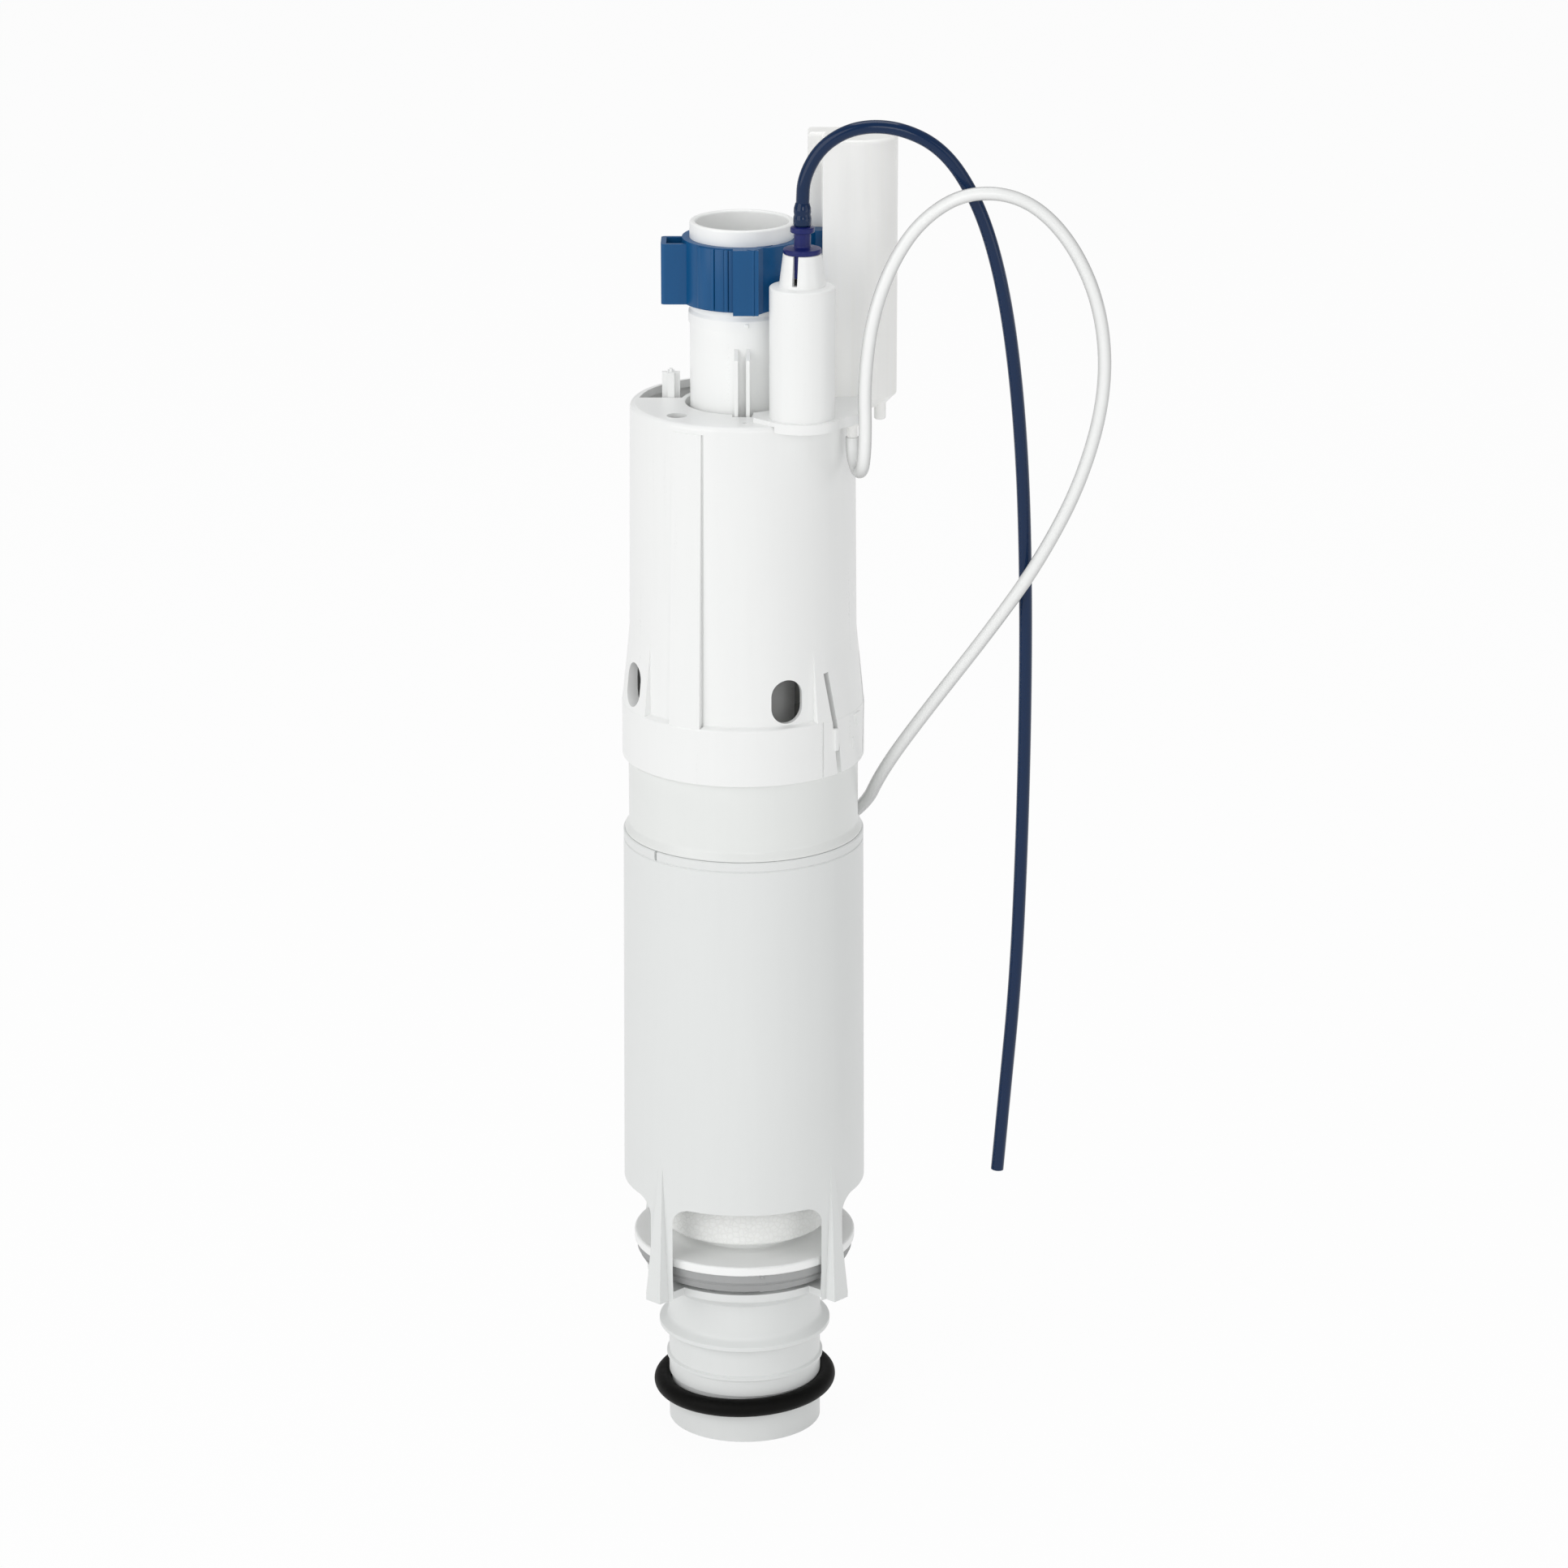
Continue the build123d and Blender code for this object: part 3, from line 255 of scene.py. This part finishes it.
# Moulded plastic: noises in cycles per metre, shares of the relief and its depth in metres.
CLOUD_SCALE = 26.0
FLOW_SCALE = 60.0
FLOW_STRETCH = (6.0, 6.0, 0.35)
FLOW_DETAIL = 3.0
FLOW_SHARE = 1.4
FLOW_ROUGHNESS = 0.10
PIT_SCALE = 2600.0
PIT_DETAIL = 3.0
PIT_SHARE = 0.6
PIT_ROUGHNESS = 0.06
MOULD_DEPTH = 0.000012


def moulded(name, base, rough, mottle=0.012, streak=0.010, specular=0.5):
    """Injection-moulded plastic: cloudy tint, faint flow lines up the draw, fine grain."""
    finish = Finish(name)
    cloud = finish.noise(CLOUD_SCALE)
    flow = finish.noise(FLOW_SCALE, FLOW_STRETCH, FLOW_DETAIL)
    pits = finish.noise(PIT_SCALE, detail=PIT_DETAIL)
    return finish.surface(
        Base_Color=finish.shaded(base, 1.0 + swing(cloud, 2 * mottle) + swing(flow, 2 * streak)),
        Roughness=rough + swing(flow, FLOW_ROUGHNESS) + swing(pits, PIT_ROUGHNESS),
        Specular_IOR_Level=specular,
        Normal=finish.bumped(pits * PIT_SHARE + flow * FLOW_SHARE, MOULD_DEPTH),
    )


# Rubber: noises in cycles per metre, depth of the grain in metres.
DUST_SCALE = 420.0
DUST_DETAIL = 5.0
DUST_ROUGHNESS = 0.2
PATCH_SCALE = 70.0
RUBBER_DEPTH = 0.00004


def rubber(name, base, rough, bloom, specular=0.4):
    """Moulded rubber with a powdery bloom and a dull grain."""
    finish = Finish(name)
    dust = finish.noise(DUST_SCALE, detail=DUST_DETAIL)
    patch = finish.noise(PATCH_SCALE)
    return finish.surface(
        Base_Color=finish.shaded(base, 1.0 + swing(dust, bloom) + swing(patch, bloom)),
        Roughness=rough + swing(dust, DUST_ROUGHNESS),
        Specular_IOR_Level=specular,
        Normal=finish.bumped(dust, RUBBER_DEPTH),
    )


# Foam: cells and noise in cycles per metre, seam width as a share of a cell, painted shade of a
# seam and rise to a bead, painted shade towards a bead's rim, pore shares, relief depth in metres.
BEAD_SCALE = 620.0
SEAM_WIDTH = 0.16
PORE_SCALE = 2400.0
SEAM_SHADE = 0.955
BEAD_LIFT = 0.045
BEAD_RIM_SHADE = 0.03
PORE_SHADE = 0.03
PORE_SHARE = 0.2
FOAM_ROUGHNESS = 0.82
FOAM_DEPTH = 0.00007


def beads(name, base):
    """Expanded foam: fused beads, dimples between them, painted shade in seams and at bead rims.
    """
    finish = Finish(name)
    cells = {"Vector": finish.place(), "Scale": BEAD_SCALE}
    edge = finish.node("ShaderNodeTexVoronoi", {"feature": "DISTANCE_TO_EDGE"}, cells)
    # Distance from each bead's middle, for painted shade towards its rim.
    bead_rim_shading = finish.node("ShaderNodeTexVoronoi", {"feature": "F1"}, cells)
    stops = ((0.0, 0.0), (SEAM_WIDTH, 1.0))
    ramp = finish.node("ShaderNodeValToRGB", {"stops": stops}, {"Fac": edge})
    bead = finish.node("ShaderNodeRGBToBW", None, {"Color": ramp})
    pores = finish.noise(PORE_SCALE)
    # Darker seams and bead rims are painted shade; the pores vary the tone at random.
    shade = SEAM_SHADE + bead * BEAD_LIFT - bead_rim_shading * BEAD_RIM_SHADE + swing(pores, PORE_SHADE)
    return finish.surface(
        Base_Color=finish.shaded(base, shade),
        Roughness=FOAM_ROUGHNESS,
        Normal=finish.bumped(bead + pores * PORE_SHARE, FOAM_DEPTH),
    )


# Steel: drawing marks in cycles per metre, least shade and least roughness, and their rise.
DRAW_SCALE = 900.0
DRAW_STRETCH = (1.0, 1.0, 4.0)
STEEL_SHADE = 0.92
STEEL_ROUGHNESS = 0.24
DRAW_RISE = 0.16


def steel(name, base):
    """Drawn spring wire."""
    finish = Finish(name)
    draw = finish.noise(DRAW_SCALE, DRAW_STRETCH)
    return finish.surface(
        Base_Color=finish.shaded(base, STEEL_SHADE + draw * DRAW_RISE),
        Metallic=1.0,
        Roughness=STEEL_ROUGHNESS + draw * DRAW_RISE,
    )


# Milky hose wall: haze in cycles per metre, its share in shade and roughness.
HAZE_SCALE = 160.0
HAZE_SHADE = 0.03
HAZE_ROUGHNESS = 0.06
WALL_ROUGHNESS = 0.12


def milky_plastic(name, base, edge_on_shade):
    """Soft milky hose wall, with painted shade towards its rims, where it is seen edge-on."""
    finish = Finish(name)
    haze = finish.noise(HAZE_SCALE)
    facing = finish.node("ShaderNodeLayerWeight", None, {"Blend": 0.5}, out="Facing")
    return finish.surface(
        # The base colour darkens as the wall turns edge-on: painted shade at the hose's rims.
        Base_Color=finish.shaded(base, 1.0 - facing * edge_on_shade + swing(haze, HAZE_SHADE)),
        Roughness=WALL_ROUGHNESS + haze * HAZE_ROUGHNESS,
        Specular_IOR_Level=0.5,
    )


def tidy(name, shape):
    """A mesh object from a bmesh, smooth but for its real edges."""
    mesh = bpy.data.meshes.new(name)
    shape.to_mesh(mesh)
    shape.free()
    mesh.polygons.foreach_set("use_smooth", [True] * len(mesh.polygons))
    mesh.set_sharp_from_angle(angle=math.radians(SMOOTH_ANGLE))
    made = bpy.data.objects.new(name, mesh)
    bpy.context.scene.collection.objects.link(made)
    return made


def dress(made, body, material):
    """Puts a piece on its body and its finish."""
    made.data.materials.append(material)
    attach(made, body)
    return made


def turned(profile, steps, centre=(0.0, 0.0)):
    """A closed profile of (radius, height) spun round an upright axis."""
    shape = bmesh.new()
    corners = [
        shape.verts.new((centre[0] + radius, centre[1], height)) for radius, height in profile
    ]
    for first, second in zip(corners, corners[1:] + corners[:1]):
        shape.edges.new((first, second))
    bmesh.ops.spin(
        shape, geom=shape.verts[:] + shape.edges[:], cent=(*centre, 0.0), axis=(0.0, 0.0, 1.0),
        angle=2 * math.pi, steps=steps, use_merge=True,
    )
    bmesh.ops.remove_doubles(shape, verts=shape.verts, dist=MERGE_DISTANCE)
    bmesh.ops.recalc_face_normals(shape, faces=shape.faces)
    return shape


def slab(depth, width, height):
    """A box about the origin, its outer face towards +X."""
    shape = bmesh.new()
    bmesh.ops.create_cube(shape, size=1.0, matrix=Matrix.Diagonal((depth, width, height, 1.0)))
    return shape


def prism(corners, depth):
    """An upright outline of (across, height), closed and facing +X, with a depth behind it."""
    shape = bmesh.new()
    ring = [shape.verts.new((0.0, across, height)) for across, height in corners]
    front = shape.faces.new(ring)
    back = bmesh.ops.extrude_face_region(shape, geom=[front])
    moved = [item for item in back["geom"] if isinstance(item, bmesh.types.BMVert)]
    bmesh.ops.translate(shape, verts=moved, vec=(-depth, 0.0, 0.0))
    bmesh.ops.recalc_face_normals(shape, faces=shape.faces)
    return shape


def rounded(shape, width, segments=3):
    """Bevels every edge that turns a corner."""
    corners = [
        edge for edge in shape.edges
        if len(edge.link_faces) == 2 and edge.calc_face_angle() > CORNER_ANGLE
    ]
    bmesh.ops.bevel(
        shape, geom=corners, offset=width, affect="EDGES", segments=segments, profile=0.5,
        material=-1,
    )
    return shape


def set_out(shape, azimuth, radius, height):
    """Moves a shape that faces +X to a place round the valve's axis, azimuth in degrees."""
    turn = Matrix.Rotation(math.radians(azimuth), 4, "Z")
    spot = turn @ Matrix.Translation((radius, 0.0, height))
    bmesh.ops.transform(shape, matrix=spot, verts=shape.verts)
    return shape


def merged(name, shapes):
    """One object from several shapes."""
    whole = bmesh.new()
    for shape in shapes:
        part = bpy.data.meshes.new("part")
        shape.to_mesh(part)
        shape.free()
        whole.from_mesh(part)
        bpy.data.meshes.remove(part)
    return tidy(name, whole)


def cord_line(name, route, diameter):
    """A smooth round line through a hose's route."""
    line = bpy.data.curves.new(name, "CURVE")
    line.dimensions = "3D"
    line.bevel_depth = diameter / 2
    line.bevel_resolution = HOSE_ROUNDNESS
    line.resolution_u = HOSE_STEPS
    line.use_fill_caps = True
    spline = line.splines.new("NURBS")
    spline.points.add(len(route) - 1)
    for point, spot in zip(spline.points, route):
        point.co = (*spot, 1.0)
    spline.order_u = 3
    spline.use_endpoint_u = True
    made = bpy.data.objects.new(name, line)
    bpy.context.scene.collection.objects.link(made)
    return made


def refinish(material, *nodes):
    """Gives carried-over nodes their material."""
    for node in nodes:
        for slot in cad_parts[node].material_slots:
            slot.material = material


# Lights: name, place in metres, power in watts and width in metres, all aimed at one point.
LIGHTS = (
    ("key", (-1.45, -1.25, 1.0), 16.0, 1.8),
    ("front", (0.25, -1.75, 0.75), 4.0, 0.7),
    ("fill", (1.5, -0.9, 0.6), 3.5, 1.2),
    ("top", (0.0, 0.3, 1.8), 7.0, 1.0),
)
LIGHTS_AIM = Vector((0.02, 0.0, 0.22))
# Colour of all that glows, and of the floor as a light falls on it.
WHITE = (1.0, 1.0, 1.0, 1.0)
PAPER = (0.86, 0.86, 0.86, 1.0)
# Share of plain white in the floor as the camera, mirrors and clear pieces see it.
FLOOR_GLOW = 0.95
# Strength of the surroundings as a light, and what the camera sees above that.
SKY_LIGHT = 0.46
SKY_EXTRA = 0.54
# Camera: lens and sensor width in millimetres, reach and place in metres, tilt in degrees.
LENS = 128.9
SENSOR = 36.0
REACH = 60.0
CAMERA_PLACE = (0.0125, -1.6444, 0.7448)
CAMERA_TILT = 72.0


class VALVE_OT_stage(bpy.types.Operator):
    """Floor, lights, surroundings and camera"""

    bl_idname = "valve.stage"
    bl_label = "Stage"

    def execute(self, context):
        scene = context.scene
        self.floor(scene.valve_sizes.floor_span)
        for name, spot, power, size in LIGHTS:
            self.light(name, spot, power, size)
        self.surroundings(scene)
        self.camera(scene)
        scene.view_settings.view_transform = "Standard"
        return {"FINISHED"}

    def floor(self, span):
        ground = bmesh.new()
        bmesh.ops.create_grid(ground, x_segments=1, y_segments=1, size=span / 2)
        floor = tidy("floor", ground)
        finish = Finish("studio_floor")
        seen = finish.node("ShaderNodeLightPath", out="Is Camera Ray")
        gloss = finish.node("ShaderNodeLightPath", out="Is Glossy Ray")
        through = finish.node("ShaderNodeLightPath", out="Is Transmission Ray")
        paper = finish.node("ShaderNodeBsdfDiffuse", None, {"Color": PAPER})
        glow = finish.node("ShaderNodeEmission", None, {"Color": WHITE, "Strength": 1.0})
        capped = {"operation": "ADD", "use_clamp": True}
        share = finish.node("ShaderNodeMath", capped, {0: seen, 1: gloss + through})
        parts = {0: share * FLOOR_GLOW, 1: paper, 2: glow}
        mixed = finish.node("ShaderNodeMixShader", None, parts)
        finish.node("ShaderNodeOutputMaterial", None, {"Surface": mixed})
        floor.data.materials.append(finish.owner)

    def light(self, name, spot, power, size):
        lamp = bpy.data.lights.new(name, "AREA")
        lamp.energy = power
        lamp.size = size
        made = bpy.data.objects.new(name, lamp)
        made.location = spot
        made.rotation_euler = (Vector(spot) - LIGHTS_AIM).to_track_quat("Z", "Y").to_euler()
        bpy.context.scene.collection.objects.link(made)

    def surroundings(self, scene):
        sky = Finish("studio", "worlds")
        scene.world = sky.owner
        lit = sky.node("ShaderNodeLightPath", out="Is Camera Ray") * SKY_EXTRA + SKY_LIGHT
        backdrop = sky.node("ShaderNodeBackground", None, {"Color": WHITE, "Strength": lit})
        sky.node("ShaderNodeOutputWorld", None, {"Surface": backdrop})

    def camera(self, scene):
        eye = bpy.data.cameras.new("camera")
        eye.lens = LENS
        eye.sensor_width = SENSOR
        eye.clip_end = REACH
        camera = bpy.data.objects.new("camera", eye)
        camera.location = CAMERA_PLACE
        camera.rotation_euler = (math.radians(CAMERA_TILT), 0.0, 0.0)
        scene.collection.objects.link(camera)
        scene.camera = camera


class VALVE_OT_blue_hose(bpy.types.Operator):
    """Tinted air hose from the trip cylinder's nipple"""

    bl_idname = "valve.blue_hose"
    bl_label = "Blue hose"

    def execute(self, context):
        sizes = context.scene.valve_sizes
        shades = context.scene.valve_colours
        wall = moulded(
            "hose_blue", shades.blue_hose, rough=0.14, mottle=0.05, streak=0.05, specular=0.32,
        )
        hose = cord_line("blue_air_hose", BLUE_HOSE_ROUTE, sizes.hose_diameter)
        dress(hose, "housing", wall)
        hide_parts("blue_hose")
        return {"FINISHED"}


class VALVE_OT_clear_hose(bpy.types.Operator):
    """Clear air hose from the deck bracket's nipple"""

    bl_idname = "valve.clear_hose"
    bl_label = "Clear hose"

    def execute(self, context):
        sizes = context.scene.valve_sizes
        shades = context.scene.valve_colours
        # Share of painted shade at the clear hose's rims, where the wall is seen edge-on.
        wall = milky_plastic("hose_clear", shades.clear_hose, edge_on_shade=0.62)
        hose = cord_line("clear_air_hose", CLEAR_HOSE_ROUTE, sizes.hose_diameter)
        dress(hose, "housing", wall)
        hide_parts("clear_hose")
        return {"FINISHED"}


# How far inside the hose's wall the swell starts and ends, in metres.
WALL_SINK = 0.0001
# Outline of the swell: where a radius is taken from, how far beyond that it lies, and its
# height above the start of the route, in metres.
CUFF_OUTLINE = (
    ("wall", 0.0, 0.0002), ("swell", -0.0002, 0.0002), ("swell", 0.0, 0.0005),
    ("swell", 0.0, 0.0026), ("swell", -0.00025, 0.0034), ("swell", -0.0001, 0.0042),
    ("swell", -0.00015, 0.0054), ("wall", 0.0002, 0.0068), ("wall", 0.0, 0.0071),
)
CUFF_STEPS = 64


class VALVE_OT_hose_cuff(bpy.types.Operator):
    """Swell of the blue hose where it is pushed over the nipple's barb"""

    bl_idname = "valve.hose_cuff"
    bl_label = "Hose cuff"

    def execute(self, context):
        sizes = context.scene.valve_sizes
        radii = {"wall": sizes.hose_diameter / 2 - WALL_SINK, "swell": sizes.cuff_diameter / 2}
        start_x, start_y, start_z = BLUE_HOSE_ROUTE[0]
        profile = [(radii[start] + out, start_z + height) for start, out, height in CUFF_OUTLINE]
        cuff = tidy("hose_cuff", turned(profile, CUFF_STEPS, (start_x, start_y)))
        dress(cuff, "housing", FINISHES["hose_blue"])
        return {"FINISHED"}


# Facets of the O-ring's section, and steps round the ring.
RING_FACETS = 40
RING_STEPS = 160


class VALVE_OT_outlet_ring(bpy.types.Operator):
    """O-ring lying a little askew on the spigot"""

    bl_idname = "valve.outlet_ring"
    bl_label = "Outlet O-ring"

    def execute(self, context):
        low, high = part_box("outlet_o_ring")
        section = (high[2] - low[2]) / 2
        centre_r = (high[0] - low[0]) / 2 - section
        profile = []
        for facet in range(RING_FACETS):
            turn = 2 * math.pi * facet / RING_FACETS
            profile.append((centre_r + section * math.cos(turn), section * math.sin(turn)))
        shape = turned(profile, RING_STEPS)
        tilt = Matrix.Rotation(-context.scene.valve_sizes.ring_tilt, 4, "Y")
        place = Matrix.Translation((0.0, 0.0, (high[2] + low[2]) / 2))
        bmesh.ops.transform(shape, matrix=place @ tilt, verts=shape.verts)
        ring = tidy("outlet_ring", shape)
        dress(ring, "seat", FINISHES["black_rubber"])
        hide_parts("outlet_o_ring")
        return {"FINISHED"}


def block(size, bevel, azimuth, radius, height, segments=2):
    """A bevelled box set out round the valve's axis."""
    return set_out(rounded(slab(*size), bevel, segments), azimuth, radius, height)


# Ribs of the clamp: azimuth in degrees, width and stand-out in metres.
CLAMP_RIBS = (
    (-134.0, 0.0014, 0.0006), (-126.0, 0.0042, 0.0005), (-118.0, 0.0010, 0.0008),
    (-111.5, 0.0030, 0.0004), (-104.5, 0.0012, 0.0009), (-100.0, 0.0016, 0.0005),
)
# How much shorter the ribs are than the ring, how far they sink into it, and their bevel.
RIB_SHORT = 0.0008
RIB_SINK = 0.00005
RIB_BEVEL = 0.00018


class VALVE_OT_clamp_ribs(bpy.types.Operator):
    """Flats and ribs down the front of the lifter clamp's ring"""

    bl_idname = "valve.clamp_ribs"
    bl_label = "Clamp ribs"

    def execute(self, context):
        sizes = context.scene.valve_sizes
        radius = sizes.clamp_radius - RIB_SINK
        height = sizes.clamp_height - RIB_SHORT
        middle = sizes.clamp_foot + sizes.clamp_height / 2
        ribs = [
            block((2 * out, width, height), RIB_BEVEL, azimuth, radius, middle)
            for azimuth, width, out in CLAMP_RIBS
        ]
        made = merged("clamp_ribs", ribs)
        dress(made, "riser", FINISHES["clamp_blue"])
        return {"FINISHED"}


# Turns of the spring, steps along all of them, and facets round the wire.
SPRING_TURNS = 7
SPRING_STEPS = 36 * SPRING_TURNS
WIRE_FACETS = 12


class VALVE_OT_return_spring(bpy.types.Operator):
    """Return spring of the trip plunger."""

    bl_idname = "valve.return_spring"
    bl_label = "Return spring"

    def execute(self, context):
        sizes = context.scene.valve_sizes
        wire = sizes.spring_wire / 2
        low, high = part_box("trip_spring")
        centre = Vector((low[0] + high[0], low[1] + high[1], 2 * low[2])) / 2
        height = high[2] - low[2]
        rise = (height - 2 * wire) / SPRING_STEPS
        shape = bmesh.new()
        section = bmesh.ops.create_circle(
            shape, cap_ends=True, segments=WIRE_FACETS, radius=wire,
        )["verts"]
        start = Matrix.Translation(centre + Vector(((high[0] - low[0]) / 2 - wire, 0.0, wire)))
        upright = Matrix.Rotation(math.pi / 2, 4, "X")
        bmesh.ops.transform(shape, matrix=start @ upright, verts=section)
        bmesh.ops.spin(
            shape, geom=shape.verts[:] + shape.edges[:] + shape.faces[:], cent=centre,
            axis=(0.0, 0.0, 1.0), dvec=(0.0, 0.0, rise), angle=2 * math.pi * SPRING_TURNS,
            steps=SPRING_STEPS,
        )
        bmesh.ops.remove_doubles(shape, verts=shape.verts, dist=MERGE_DISTANCE)
        bmesh.ops.recalc_face_normals(shape, faces=shape.faces)
        spring = tidy("return_spring", shape)
        dress(spring, "housing", FINISHES["spring_steel"])
        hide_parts("trip_spring")
        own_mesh(spring)
        return {"FINISHED"}


# Turns of the two latch tongues round the valve, in degrees.
TONGUE_TURNS = (0.0, 180.0)
# Arrow on a tongue: outline across and up, depth, and how far its face stands out.
ARROW_OUTLINE = ((-0.0021, 0.0017), (0.0003, -0.0024), (0.0021, 0.0017))
ARROW_DEPTH = 0.0012
ARROW_OUT = 0.0004
ARROW_AZIMUTH = -21.7
ARROW_HEIGHT = 0.2362
# Blocks on a tongue: size, bevel and its segments, azimuth in degrees and height.
TONGUE_BLOCKS = (
    ((0.0010, 0.0010, 0.0036), 0.00012, 2, -26.4, 0.2291),
    ((0.0018, 0.0018, 0.0070), 0.0003, 3, -41.0, 0.2326),
)
# Mark on the overflow tube's socket, and moulding nib on the seal.
TICK_SIZE = (0.0006, 0.0012, 0.0012)
TICK_BEVEL = 0.00015
TICK_AZIMUTH = -85.0
TICK_HEIGHT = 0.3587
NIB_SIZE = (0.0012, 0.0009, 0.0012)
NIB_BEVEL = 0.0002
NIB_SINK = 0.0002
NIB_AZIMUTH = -80.2
NIB_HEIGHT = 0.0602


class VALVE_OT_marks(bpy.types.Operator):
    """Raised marks and stops on the latch tongues, the tube's mark and the seal's nib"""

    bl_idname = "valve.marks"
    bl_label = "Moulded marks"

    def execute(self, context):
        sizes = context.scene.valve_sizes
        band_r = sizes.band_radius
        shell_marks = []
        for turn in TONGUE_TURNS:
            arrow = prism(ARROW_OUTLINE, ARROW_DEPTH)
            radius = band_r + ARROW_OUT
            shell_marks.append(set_out(arrow, turn + ARROW_AZIMUTH, radius, ARROW_HEIGHT))
            for size, bevel, segments, azimuth, height in TONGUE_BLOCKS:
                shell_marks.append(block(size, bevel, turn + azimuth, band_r, height, segments))
        marks = merged("shell_marks", shell_marks)
        dress(marks, "housing", FINISHES["shell_white"])
        tick = block(TICK_SIZE, TICK_BEVEL, TICK_AZIMUTH, sizes.socket_radius, TICK_HEIGHT)
        tube_mark = tidy("tube_mark", tick)
        dress(tube_mark, "riser", FINISHES["tube_white"])
        seal_r = sizes.seal_radius - NIB_SINK
        nib = block(NIB_SIZE, NIB_BEVEL, NIB_AZIMUTH, seal_r, NIB_HEIGHT)
        seal_nib = tidy("seal_nib", nib)
        dress(seal_nib, "riser", FINISHES["seal_grey"])
        return {"FINISHED"}


class VALVE_OT_frame_finishes(bpy.types.Operator):
    """Finishes of the carried-over pieces"""

    bl_idname = "valve.frame_finishes"
    bl_label = "Frame finishes"

    def execute(self, context):
        shades = context.scene.valve_colours
        body = moulded("body_white", shades.body, rough=0.34)
        shell = moulded("shell_white", shades.shell, rough=0.30)
        tube = moulded("tube_white", shades.tube, rough=0.30, specular=0.55)
        natural = moulded("natural_plastic", shades.natural, rough=0.32, mottle=0.02, streak=0.06)
        sleeve = moulded("sleeve_white", shades.sleeve, rough=0.32)
        disc = moulded("disc_grey", shades.disc, rough=0.40)
        seal = rubber("seal_grey", shades.seal, rough=0.62, bloom=0.10)
        black = rubber("black_rubber", shades.black, rough=0.55, bloom=0.25, specular=0.12)
        foam = beads("float_foam", shades.foam)
        clamp = moulded(
            "clamp_blue", shades.clamp, rough=0.36, mottle=0.03, streak=0.10, specular=0.35,
        )
        nipple = moulded(
            "nipple_blue", shades.nipple, rough=0.32, mottle=0.03, streak=0.03, specular=0.3,
        )
        spring_steel = steel("spring_steel", shades.steel)
        refinish(body, "outlet_seat", "lower_body", "retaining_ring")
        refinish(sleeve, "guide_sleeve", "tube_guide")
        refinish(shell, "upper_shell", "actuator_bracket", "float_rod", "trip_cylinder")
        refinish(tube, "overflow_tube", "overflow_extension", "plate_retainer")
        refinish(
            natural, "lift_cylinder", "cylinder_base", "lift_piston", "rod_gland", "crosshead",
            "trip_plunger", "half_flush_yoke", "clear_hose_nipple",
        )
        refinish(disc, "valve_plate")
        refinish(seal, "valve_seal")
        refinish(black, "joint_seal", "piston_seal", "plunger_seal")
        refinish(foam, "float_block")
        refinish(clamp, "lifter_clamp")
        refinish(nipple, "trip_nipple")
        refinish(spring_steel, "yoke_pins")
        return {"FINISHED"}


class VALVE_PT_panel(bpy.types.Panel):
    """Sidebar list of the pieces"""

    bl_idname = "VALVE_PT_panel"
    bl_label = "Flush valve"
    bl_space_type = "VIEW_3D"
    bl_region_type = "UI"
    bl_category = "Flush valve"

    def draw(self, context):
        for operator in OPERATORS:
            self.layout.operator(operator.bl_idname)


OPERATORS = (
    VALVE_OT_stage,
    VALVE_OT_blue_hose,
    VALVE_OT_clear_hose,
    VALVE_OT_frame_finishes,
    VALVE_OT_hose_cuff,
    VALVE_OT_outlet_ring,
    VALVE_OT_clamp_ribs,
    VALVE_OT_return_spring,
    VALVE_OT_marks,
)
CLASSES = (ValveColours, ValveSizes, *OPERATORS, VALVE_PT_panel)


def register():
    for entry in CLASSES:
        bpy.utils.register_class(entry)
    bpy.types.Scene.valve_colours = PointerProperty(type=ValveColours)
    bpy.types.Scene.valve_sizes = PointerProperty(type=ValveSizes)


def unregister():
    del bpy.types.Scene.valve_sizes
    del bpy.types.Scene.valve_colours
    for entry in reversed(CLASSES):
        bpy.utils.unregister_class(entry)


def main():
    register()
    for operator in OPERATORS:
        group, name = operator.bl_idname.split(".")
        getattr(getattr(bpy.ops, group), name)()


if __name__ == "__main__":
    main()
